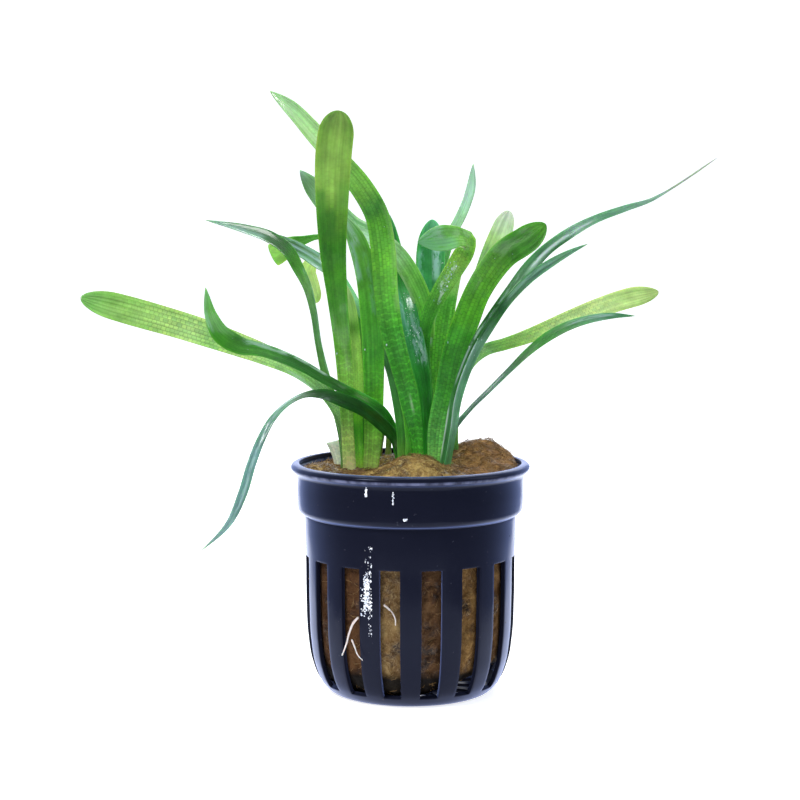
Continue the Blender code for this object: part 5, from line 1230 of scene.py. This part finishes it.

# Painted light on the blades, as sheens and highlights and as shade on folds and where other leaves lie
# behind: across from and to, along from and to, colour, strength, how broken it is
LEAF_PAINTED_LIGHT = {
    "leaf_tall": [
        (-0.3, 0.62, 0.66, 0.735, (0.04, 0.18, 0.012), 0.75, 0.0),
        (-0.3, 0.3, 0.72, 0.79, (0.09, 0.26, 0.03), 0.7, 0.0),
        (0.66, 1.3, 0.74, 0.81, (0.13, 0.33, 0.04), 0.6, 0.0),
        (-0.3, 1.3, 0.40, 0.46, (0.09, 0.30, 0.03), 0.5, 0.6),
    ],
    "leaf_second": [
        (0.04, 0.26, 0.74, 0.90, (0.34, 0.52, 0.44), 0.75, 0.35),
        (0.55, 0.72, 0.60, 0.84, (0.22, 0.46, 0.26), 0.5, 0.5),
        (0.25, 0.60, 0.88, 0.99, (0.42, 0.60, 0.50), 0.6, 0.4),
    ],
    "leaf_parallel": [
        (0.18, 0.42, 0.66, 0.84, (0.56, 0.72, 0.62), 0.8, 0.3),
        (0.66, 0.9, 0.68, 0.80, (0.14, 0.36, 0.12), 0.7, 0.3),
        (-0.1, 0.16, 0.28, 0.6, (0.5, 0.7, 0.4), 0.5, 0.5),
    ],
    "leaf_glossy": [
        (0.30, 0.92, 0.36, 0.60, (0.38, 0.60, 0.58), 0.6, 0.75),
        (0.62, 0.95, 0.34, 0.50, (0.55, 0.75, 0.74), 0.7, 0.55),
        (0.0, 0.35, 0.50, 0.66, (0.10, 0.34, 0.26), 0.6, 0.4),
    ],
    "leaf_crossing": [
        (0.02, 0.20, 0.74, 0.92, (0.42, 0.58, 0.58), 0.8, 0.25),
        (0.45, 0.60, 0.72, 0.92, (0.36, 0.54, 0.54), 0.7, 0.3),
        (0.80, 0.95, 0.74, 0.90, (0.30, 0.48, 0.46), 0.6, 0.35),
    ],
    "leaf_arch_left": [
        (0.0, 0.42, 0.79, 0.97, (0.26, 0.44, 0.36), 0.5, 0.3),
        (0.60, 1.3, 0.76, 0.93, (0.02, 0.12, 0.02), 0.8, 0.1),
        (0.75, 1.1, 0.30, 0.62, (0.26, 0.42, 0.30), 0.6, 0.45),
    ],
    "leaf_hooked": [
        (0.80, 1.1, 0.44, 0.62, (0.52, 0.66, 0.58), 0.75, 0.4),
        (0.66, 0.95, 0.60, 0.74, (0.40, 0.56, 0.44), 0.65, 0.45),
        (0.35, 0.80, 0.26, 0.31, (0.42, 0.62, 0.26), 0.6, 0.4),
        (0.0, 0.3, 0.86, 0.97, (0.30, 0.50, 0.34), 0.5, 0.4),
    ],
    "leaf_drooping": [
        (0.62, 1.2, 0.43, 0.52, (0.46, 0.60, 0.58), 0.6, 0.3),
        (0.40, 0.66, 0.52, 0.60, (0.44, 0.58, 0.58), 0.5, 0.4),
        (0.30, 0.60, 0.60, 0.84, (0.42, 0.58, 0.60), 0.6, 0.45),
        (0.2, 0.8, 0.02, 0.06, (0.30, 0.40, 0.22), 0.6, 0.5),
    ],
    "leaf_long": [
        (0.52, 0.60, 0.12, 0.15, (0.70, 0.90, 0.60), 0.8, 0.2),
        (0.80, 1.1, 0.36, 0.60, (0.34, 0.62, 0.18), 0.45, 0.4),
        (0.20, 0.42, 0.78, 0.97, (0.50, 0.66, 0.36), 0.5, 0.4),
    ],
    "leaf_curled": [
        (0.50, 0.86, 0.56, 0.60, (0.84, 0.92, 0.82), 0.8, 0.7),
        (0.20, 0.62, 0.60, 0.69, (0.80, 0.92, 0.72), 0.8, 0.72),
        (-0.2, 0.5, 0.86, 1.0, (0.24, 0.50, 0.30), 0.5, 0.3),
        (0.50, 1.1, 0.90, 1.0, (0.40, 0.62, 0.46), 0.5, 0.45),
    ],
    "leaf_dark_back": [
        (0.58, 0.82, 0.74, 0.88, (0.48, 0.68, 0.70), 0.8, 0.4),
        (0.06, 0.26, 0.74, 0.86, (0.26, 0.50, 0.46), 0.6, 0.5),
    ],
    "leaf_thin_upright": [
        (0.10, 0.36, 0.72, 0.95, (0.52, 0.68, 0.60), 0.6, 0.4),
    ],
    "leaf_pale_middle": [
        (-0.1, 0.10, 0.55, 0.80, (0.62, 0.78, 0.60), 0.7, 0.3),
    ],
    "leaf_broad": [
        (-0.1, 0.10, 0.62, 0.84, (0.22, 0.44, 0.14), 0.5, 0.4),
        (0.30, 0.55, 0.78, 0.94, (0.12, 0.34, 0.06), 0.5, 0.5),
    ],
    "leaf_thread_tip": [
        (0.14, 0.26, 0.18, 0.30, (0.62, 0.76, 0.72), 0.75, 0.4),
        (0.20, 0.32, 0.30, 0.44, (0.52, 0.68, 0.64), 0.6, 0.5),
        (-0.1, 0.12, 0.02, 0.12, (0.70, 0.86, 0.78), 0.8, 0.2),
        (0.50, 0.85, 0.40, 0.56, (0.34, 0.52, 0.36), 0.6, 0.4),
        (0.46, 0.66, 0.47, 0.66, (0.84, 0.93, 0.90), 0.85, 0.2),
        (0.76, 1.2, 0.42, 0.60, (0.02, 0.12, 0.03), 0.8, 0.1),
    ],
    "leaf_inner_right": [
        (-0.1, 0.14, 0.14, 0.46, (0.52, 0.68, 0.64), 0.7, 0.4),
        (-0.2, 0.24, 0.48, 0.66, (0.012, 0.08, 0.014), 0.85, 0.1),
        (0.6, 0.85, 0.20, 0.48, (0.08, 0.24, 0.10), 0.6, 0.3),
        (0.20, 0.50, 0.66, 0.90, (0.34, 0.52, 0.42), 0.6, 0.4),
    ],
    "leaf_low_right": [
        (0.10, 0.45, 0.20, 0.42, (0.50, 0.62, 0.60), 0.6, 0.4),
        (0.15, 0.5, 0.74, 0.92, (0.42, 0.58, 0.54), 0.6, 0.45),
    ],
    "leaf_pale_left": [
        (0.62, 0.9, 0.40, 0.62, (0.48, 0.68, 0.32), 0.4, 0.5),
        (0.0, 0.3, 0.24, 0.36, (0.42, 0.60, 0.48), 0.5, 0.5),
    ],
}


def tip_factor(distance_to_tip, tip_length, width):
    """Share of the blade's width left near the tip: short tips are round and long ones pointed."""
    if distance_to_tip >= tip_length:
        return 1.0
    pointed = min(max((tip_length / width - 1.0) / 3.0, 0.0), 1.0)
    part = 1.0 - distance_to_tip / tip_length
    return max(1.0 - part * part, 0.0) ** (0.5 + 0.35 * pointed)


def blade_ring(path, distance, tip_length, seed, sink=0.0):
    """Points round the blade: the hollow upper face from edge to edge, then the ribbed under face."""
    point, tangent, across, (width, roll) = path.frame(distance)
    normal = tangent.cross(across)
    turn = math.radians(roll)
    side = across * math.cos(turn) + normal * math.sin(turn)
    face = tangent.cross(side)
    half = 0.5 * width * tip_factor(path.length - distance, tip_length, width)
    foot = max(0.0, 1.0 - distance / FOOT_LENGTH) ** 1.6
    thick = min(BLADE_THICKNESS + (FOOT_THICKNESS - BLADE_THICKNESS) * foot, 0.8 * half + 0.04)
    hollow = (0.13 + 0.10 * foot) * half
    ring = []
    columns = [(step, -1.0) for step in range(BLADE_COLUMNS + 1)]
    columns += [(step, 1.0) for step in range(BLADE_COLUMNS - 1, 0, -1)]
    for step, under in columns:
        share = math.sin(math.pi * (step / BLADE_COLUMNS - 0.5))
        body = math.sqrt(max(1.0 - abs(share) ** 2.6, 0.0))
        if under > 0.0:
            rib = 0.16 * math.exp(-(share * half / 0.5) ** 2)
        else:
            rib = -0.10 * math.exp(-(share * half / 0.4) ** 2)
        out = 0.5 * thick * body * under + rib * min(1.0, half / 2.0) * under * body
        out -= hollow * (share * share - 0.35)
        ripple = noise.noise(Vector((distance * 0.09, share * 0.6 + seed * 7.3, seed * 3.1)))
        out += 0.45 * ripple * share * share * min(1.0, half / 3.0) * (1.0 - foot)
        spot = point + side * (half * share) + face * out - tangent * sink
        ring.append((spot, 0.5 + 0.5 * share, distance * 0.01, distance / path.length))
    return ring


def make_blade(name, tip_length, stations, finish, seed):
    path = SmoothPath(stations)
    body = path.length - tip_length
    rings = [blade_ring(path, 0.0, tip_length, seed, sink=1.8)]
    count = max(6, round(body / BLADE_STEP))
    for index in range(count):
        rings.append(blade_ring(path, body * index / count, tip_length, seed))
    for index in range(TIP_RINGS):
        angle = math.radians(90.0 - 88.0 * index / (TIP_RINGS - 1))
        distance = path.length - tip_length * (1.0 - math.cos(angle))
        rings.append(blade_ring(path, distance, tip_length, seed))
    return mesh_from_rings(name, rings, finish)


for index, (name, (tip_length, stations)) in enumerate(LEAVES.items()):
    veins, stripe, stops = LEAF_TONES_AND_PAINTED_LIGHT[name]
    finish = leaf_finish(name + "_tissue", stops, LEAF_PAINTED_LIGHT.get(name, ()), Veins=veins, Stripe=stripe,
                         Ribs=LEAF_RIB_HIGHLIGHTS.get(name, 0.0), Seed=index * 2.7)
    blade = make_blade(name + "_blade", tip_length, stations, finish, index)
    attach(blade, "root")
    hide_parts(name)

# The cut stub and the two bare stems.
# A leaf trimmed off just above the wool, its spongy inside showing, and two olive stems beside the
# middle crown.
STEMS = {
    "stem_upright": (0.80, [(-5.2, 6.0, 53.0), (-5.1, 6.2, 57.0), (-5.0, 6.4, 61.0)]),
    "stem_leaning": (0.55, [(-7.4, 7.4, 52.4), (-6.9, 7.6, 56.0), (-6.0, 8.0, 61.0)]),
}
STUB_STATIONS = [(-16.5, 9.3, 51.5), (-16.9, 9.5, 53.4), (-17.7, 9.7, 55.4), (-18.4, 9.8, 57.0)]
STUB_WIDTH = 3.0
STUB_THICKNESS = 1.1


def rod_ring(path, distance, radius, sides, total):
    point, tangent, across, _ = path.frame(distance)
    normal = tangent.cross(across)
    ring = []
    for side in range(sides):
        angle = math.tau * side / sides
        ring.append((point + (across * math.cos(angle) + normal * math.sin(angle)) * radius,
                     side / sides, distance * 0.01, distance / total))
    return ring


def make_rod(name, radius, stations, finish, taper=0.45, knots=0.06, step=0.4, sides=16):
    """A thin stem or root with a slightly uneven skin."""
    path = SmoothPath(stations)
    count = max(8, round(path.length / step))
    rings = []
    for index in range(count + 1):
        part = index / count
        distance = path.length * part
        lump = 1.0 + knots * 2.0 * noise.noise(Vector((distance * 0.9, radius * 50.0, 4.0)))
        size = radius * (1.0 - taper * part) * lump
        if index in (0, count):
            size *= 0.6
        rings.append(rod_ring(path, distance, size, sides, path.length))
    return mesh_from_rings(name, rings, finish)


stem_finish = leaf_finish("stem_tissue", [(0.0, (0.20, 0.24, 0.06)), (1.0, (0.14, 0.28, 0.045))], Lines=9.0,
                          Veins=0.4, Stripe=0.0)
for name, (radius, stations) in STEMS.items():
    stem = make_rod(name + "_rod", radius, stations, stem_finish, taper=0.3)
    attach(stem, "root")
    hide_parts(name)

stub_path = SmoothPath(STUB_STATIONS)
stub_rings = []
for index in range(21):
    part = index / 20
    point, tangent, _, _ = stub_path.frame(stub_path.length * part)
    ring = []
    for side in range(40):
        angle = math.tau * side / 40
        bow = 0.35 * math.cos(2.0 * angle)
        flute = 1.0 + 0.05 * math.sin(9.0 * angle)
        offset = Vector((0.5 * STUB_WIDTH * math.cos(angle) * flute,
                         0.5 * STUB_THICKNESS * math.sin(angle) * flute + bow * 0.3,
                         0.45 * math.cos(angle + 0.5) * part))
        ring.append((point + offset, side / 40, part * 0.06, part))
    stub_rings.append(ring)
inner = []
for point, u, v, along in stub_rings[-1]:
    middle = sum((corner[0] for corner in stub_rings[-1]), Vector()) / 40
    inner.append((middle + (point - middle) * 0.72 - Vector((0.0, 0.0, 0.35)), u, v, along))
stub_rings.append(inner)
stub_finish = leaf_finish("stub_tissue", [(0.0, (0.68, 0.78, 0.62)), (1.0, (0.84, 0.92, 0.80))], Lines=14.0,
                          Veins=0.5, Stripe=0.0)
stub = mesh_from_rings("leaf_stub_cut", stub_rings, stub_finish)
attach(stub, "root")
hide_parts("leaf_stub")

# The roots.
# Young white roots that have come out through the slots and cling to the wet wool, each a fine thread
# that thins towards its tip.
ROOTS = {
    "root_outer": (0.30, [
        (-11.7, -22.2, 21.4), (-12.8, -21.6, 20.0), (-13.7, -21.0, 17.7), (-14.4, -20.5, 15.0),
        (-15.4, -19.5, 12.1),
    ]),
    "root_branch": (0.20, [
        (-13.2, -21.3, 16.2), (-12.5, -21.7, 14.5), (-11.8, -22.1, 12.8), (-10.7, -22.6, 11.7),
    ]),
    "root_inner": (0.24, [
        (-6.0, -22.97, 24.4), (-4.5, -23.3, 23.1), (-3.5, -23.5, 21.5), (-3.4, -23.5, 19.8),
    ]),
}


def root_finish():
    material, tree, shader = new_material("root_skin", Roughness=0.35, Subsurface_Weight=0.3,
                                          Subsurface_Radius=(1.0, 0.6, 0.5), Subsurface_Scale=0.0006,
                                          Coat_Weight=0.5)
    where = put(tree, "ShaderNodeTexCoord").outputs["Object"]
    cloud = cloud_noise(tree, where, 700.0, 3.0)
    tint = blended(tree, cloud, (0.62, 0.48, 0.44), (0.86, 0.82, 0.78))
    tree.links.new(tint, shader.inputs["Base Color"])
    bump = put(tree, "ShaderNodeBump", {"Height": cloud, "Strength": 0.4, "Distance": 0.0001})
    tree.links.new(bump.outputs[0], shader.inputs["Normal"])
    return material


root_skin = root_finish()
for name, (radius, stations) in ROOTS.items():
    root = make_rod(name + "_thread", radius, stations, root_skin, taper=0.5, knots=0.12, step=0.2, sides=12)
    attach(root, "root")
    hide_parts(name)

# The water.
# Clear drops left on the blades from rinsing, and the splash marks of drops that run down the front of the
# pot. The drops are tinted pale and glow a little: painted highlights and painted glow for the glints on the
# water.
# On a leaf: across from and to, along from and to, drops a square metre, smallest and largest radius
LEAF_DROPS = {
    "leaf_glossy": [(0.30, 0.95, 0.34, 0.58, 1.5e6, 0.06, 0.17), (0.0, 1.0, 0.40, 0.62, 6.0e5, 0.05, 0.12)],
    "leaf_curled": [(0.45, 0.85, 0.54, 0.61, 1.5e6, 0.08, 0.22), (0.15, 0.7, 0.60, 0.70, 1.6e6, 0.08, 0.26)],
    "leaf_dark_back": [(0.1, 0.9, 0.72, 0.92, 3.0e5, 0.06, 0.16)],
    "leaf_broad": [(0.0, 1.0, 0.16, 0.95, 2.4e4, 0.08, 0.20)],
    "leaf_long": [(0.1, 0.9, 0.06, 0.60, 2.0e4, 0.08, 0.20)],
    "leaf_tall": [(0.1, 0.9, 0.10, 0.50, 2.4e4, 0.08, 0.20)],
    "leaf_second": [(0.1, 0.9, 0.20, 0.80, 1.8e4, 0.08, 0.18)],
    "leaf_thread_tip": [(0.1, 0.9, 0.12, 0.60, 8.0e4, 0.05, 0.13)],
    "leaf_inner_right": [(0.1, 0.9, 0.12, 0.50, 1.0e5, 0.05, 0.12)],
    "leaf_hooked": [(0.3, 1.0, 0.26, 0.80, 6.0e4, 0.06, 0.14)],
    "leaf_parallel": [(0.1, 0.9, 0.30, 0.85, 6.0e4, 0.06, 0.16)],
}
# On the pot: degrees round from the front, heights, drops a square metre, smallest and largest radius
POT_MARKS = [
    (-25.6, -21.0, 23.0, 31.5, 7.0e6, 0.07, 0.26), (-24.8, -22.4, 24.0, 30.0, 1.1e7, 0.09, 0.32),
    (-24.6, -20.6, 31.0, 37.8, 2.6e6, 0.06, 0.22), (-22.8, -20.8, 17.0, 25.0, 8.0e6, 0.05, 0.18),
    (-27.4, -24.0, 21.5, 28.0, 2.6e6, 0.08, 0.24), (-22.6, -21.6, 48.9, 51.0, 2.6e7, 0.10, 0.22),
    (-8.9, -8.1, 47.2, 50.5, 2.2e7, 0.07, 0.16), (-3.6, -2.0, 43.7, 44.2, 3.0e7, 0.10, 0.22),
]


def drops_tree():
    """Scatters low beads of water on a surface, between two places across and along it."""
    tree = bpy.data.node_groups.new("drops", "GeometryNodeTree")
    face = tree.interface
    face.new_socket("Surface", in_out="INPUT", socket_type="NodeSocketGeometry")
    for name in ("Across from", "Across to", "Along from", "Along to", "Density", "Smallest", "Largest",
                 "Flatness"):
        face.new_socket(name, in_out="INPUT", socket_type="NodeSocketFloat")
    face.new_socket("Seed", in_out="INPUT", socket_type="NodeSocketInt")
    face.new_socket("Finish", in_out="INPUT", socket_type="NodeSocketMaterial")
    face.new_socket("Drops", in_out="OUTPUT", socket_type="NodeSocketGeometry")
    given = tree.nodes.new("NodeGroupInput").outputs
    density = given["Density"]
    for name, low, high in (("across", "Across from", "Across to"), ("along", "Along from", "Along to")):
        value = put(tree, "GeometryNodeInputNamedAttribute", {"Name": name}, data_type="FLOAT").outputs[0]
        density = maths(tree, "MULTIPLY", density, maths(tree, "GREATER_THAN", value, given[low]))
        density = maths(tree, "MULTIPLY", density, maths(tree, "LESS_THAN", value, given[high]))
    facing = put(tree, "ShaderNodeSeparateXYZ", {0: tree.nodes.new("GeometryNodeInputNormal").outputs[0]})
    density = maths(tree, "MULTIPLY", density, maths(tree, "LESS_THAN", facing.outputs["Y"], -0.05))
    spread = put(tree, "GeometryNodeDistributePointsOnFaces", {
        "Mesh": given["Surface"], "Density": density, "Seed": given["Seed"]}, distribute_method="RANDOM")
    bead = put(tree, "GeometryNodeMeshIcoSphere", {"Radius": 1.0, "Subdivisions": 2})
    size = put(tree, "FunctionNodeRandomValue", {2: 0.0, 3: 1.0, "Seed": 11}, data_type="FLOAT").outputs[1]
    radius = maths(tree, "MULTIPLY_ADD", maths(tree, "POWER", size, 2.5),
                   maths(tree, "SUBTRACT", given["Largest"], given["Smallest"]), given["Smallest"])
    wide = put(tree, "FunctionNodeRandomValue", {2: 0.7, 3: 1.5, "Seed": 12}, data_type="FLOAT").outputs[1]
    shape = put(tree, "ShaderNodeCombineXYZ", {
        "X": maths(tree, "DIVIDE", radius, wide), "Y": maths(tree, "MULTIPLY", radius, wide),
        "Z": maths(tree, "MULTIPLY", radius, given["Flatness"])})
    placed = put(tree, "GeometryNodeInstanceOnPoints", {
        "Points": spread.outputs["Points"], "Instance": bead.outputs["Mesh"],
        "Rotation": spread.outputs["Rotation"], "Scale": shape.outputs[0]})
    whole = put(tree, "GeometryNodeRealizeInstances", {"Geometry": placed.outputs[0]})
    smooth = put(tree, "GeometryNodeSetShadeSmooth", {"Geometry": whole.outputs[0]})
    done = put(tree, "GeometryNodeSetMaterial", {"Geometry": smooth.outputs[0], "Material": given["Finish"]})
    tree.links.new(done.outputs[0], tree.nodes.new("NodeGroupOutput").inputs[0])
    return tree


def water_finish(name, thin, thick, glow):
    """Water that catches the light: a painted highlight, mixed by noise from a dim to a pale colour, with a
    painted glow in the same colour.
    """
    material, tree, shader = new_material(name, Roughness=0.06, Specular_IOR_Level=0.8, Coat_Weight=1.0,
                                          Coat_Roughness=0.03, Emission_Strength=glow)
    where = put(tree, "ShaderNodeTexCoord").outputs["Object"]
    cloud = cloud_noise(tree, where, 1600.0, 2.0)
    share = remap(tree, cloud, 0.38, 0.6)
    tint = blended(tree, share, thin, thick)
    tree.links.new(tint, shader.inputs["Base Color"])
    # Painted glow: the same pale colour feeds the emission, so the drops shine though they are no lamp.
    tree.links.new(tint, shader.inputs["Emission Color"])
    return material


def wall_patch(left, right, low, high):
    """A piece of the pot's outer face, to scatter drops on."""
    build = bmesh.new()
    across_layer = build.verts.layers.float.new("across")
    along_layer = build.verts.layers.float.new("along")
    grid = []
    for row in range(13):
        height = low + (high - low) * row / 12
        line = []
        for column in range(9):
            angle = math.radians(left + (right - left) * column / 8)
            radius = wall_radius(height)
            spot = (radius * math.sin(angle) * MM, -radius * math.cos(angle) * MM, height * MM)
            vertex = build.verts.new(spot)
            vertex[across_layer] = 0.5
            vertex[along_layer] = 0.5
            line.append(vertex)
        grid.append(line)
    for lower, upper in zip(grid, grid[1:]):
        for column in range(8):
            build.faces.new((lower[column], lower[column + 1], upper[column + 1], upper[column]))
    mesh = bpy.data.meshes.new("wall_patch")
    build.to_mesh(mesh)
    build.free()
    made = bpy.data.objects.new("wall_patch", mesh)
    bpy.context.scene.collection.objects.link(made)
    return made


drop_growth = drops_tree()
leaf_water = water_finish("leaf_water", (0.22, 0.50, 0.36), (0.80, 0.92, 0.88), 0.12)
for name, places in LEAF_DROPS.items():
    for number, (left, right, start, end, density, small, large) in enumerate(places):
        drops = run_tree(bpy.data.objects[name + "_blade"], drop_growth, f"{name}_drops_{number}",
                         Across_from=left, Across_to=right, Along_from=start, Along_to=end, Density=density,
                         Smallest=small * MM, Largest=large * MM, Flatness=0.45, Seed=number + 1,
                         Finish=leaf_water)
        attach(drops, "root")

pot_water = water_finish("pot_water", (0.50, 0.55, 0.66), (0.95, 0.96, 0.98), 0.45)
for number, (left, right, low, high, density, small, large) in enumerate(POT_MARKS):
    patch = wall_patch(left, right, low, high)
    marks = run_tree(patch, drop_growth, f"pot_splash_{number}", Across_from=0.0, Across_to=1.0,
                     Along_from=0.0, Along_to=1.0, Density=density, Smallest=small * MM, Largest=large * MM,
                     Flatness=0.3, Seed=number + 20, Finish=pot_water)
    bpy.data.objects.remove(patch)
    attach(marks, "root")
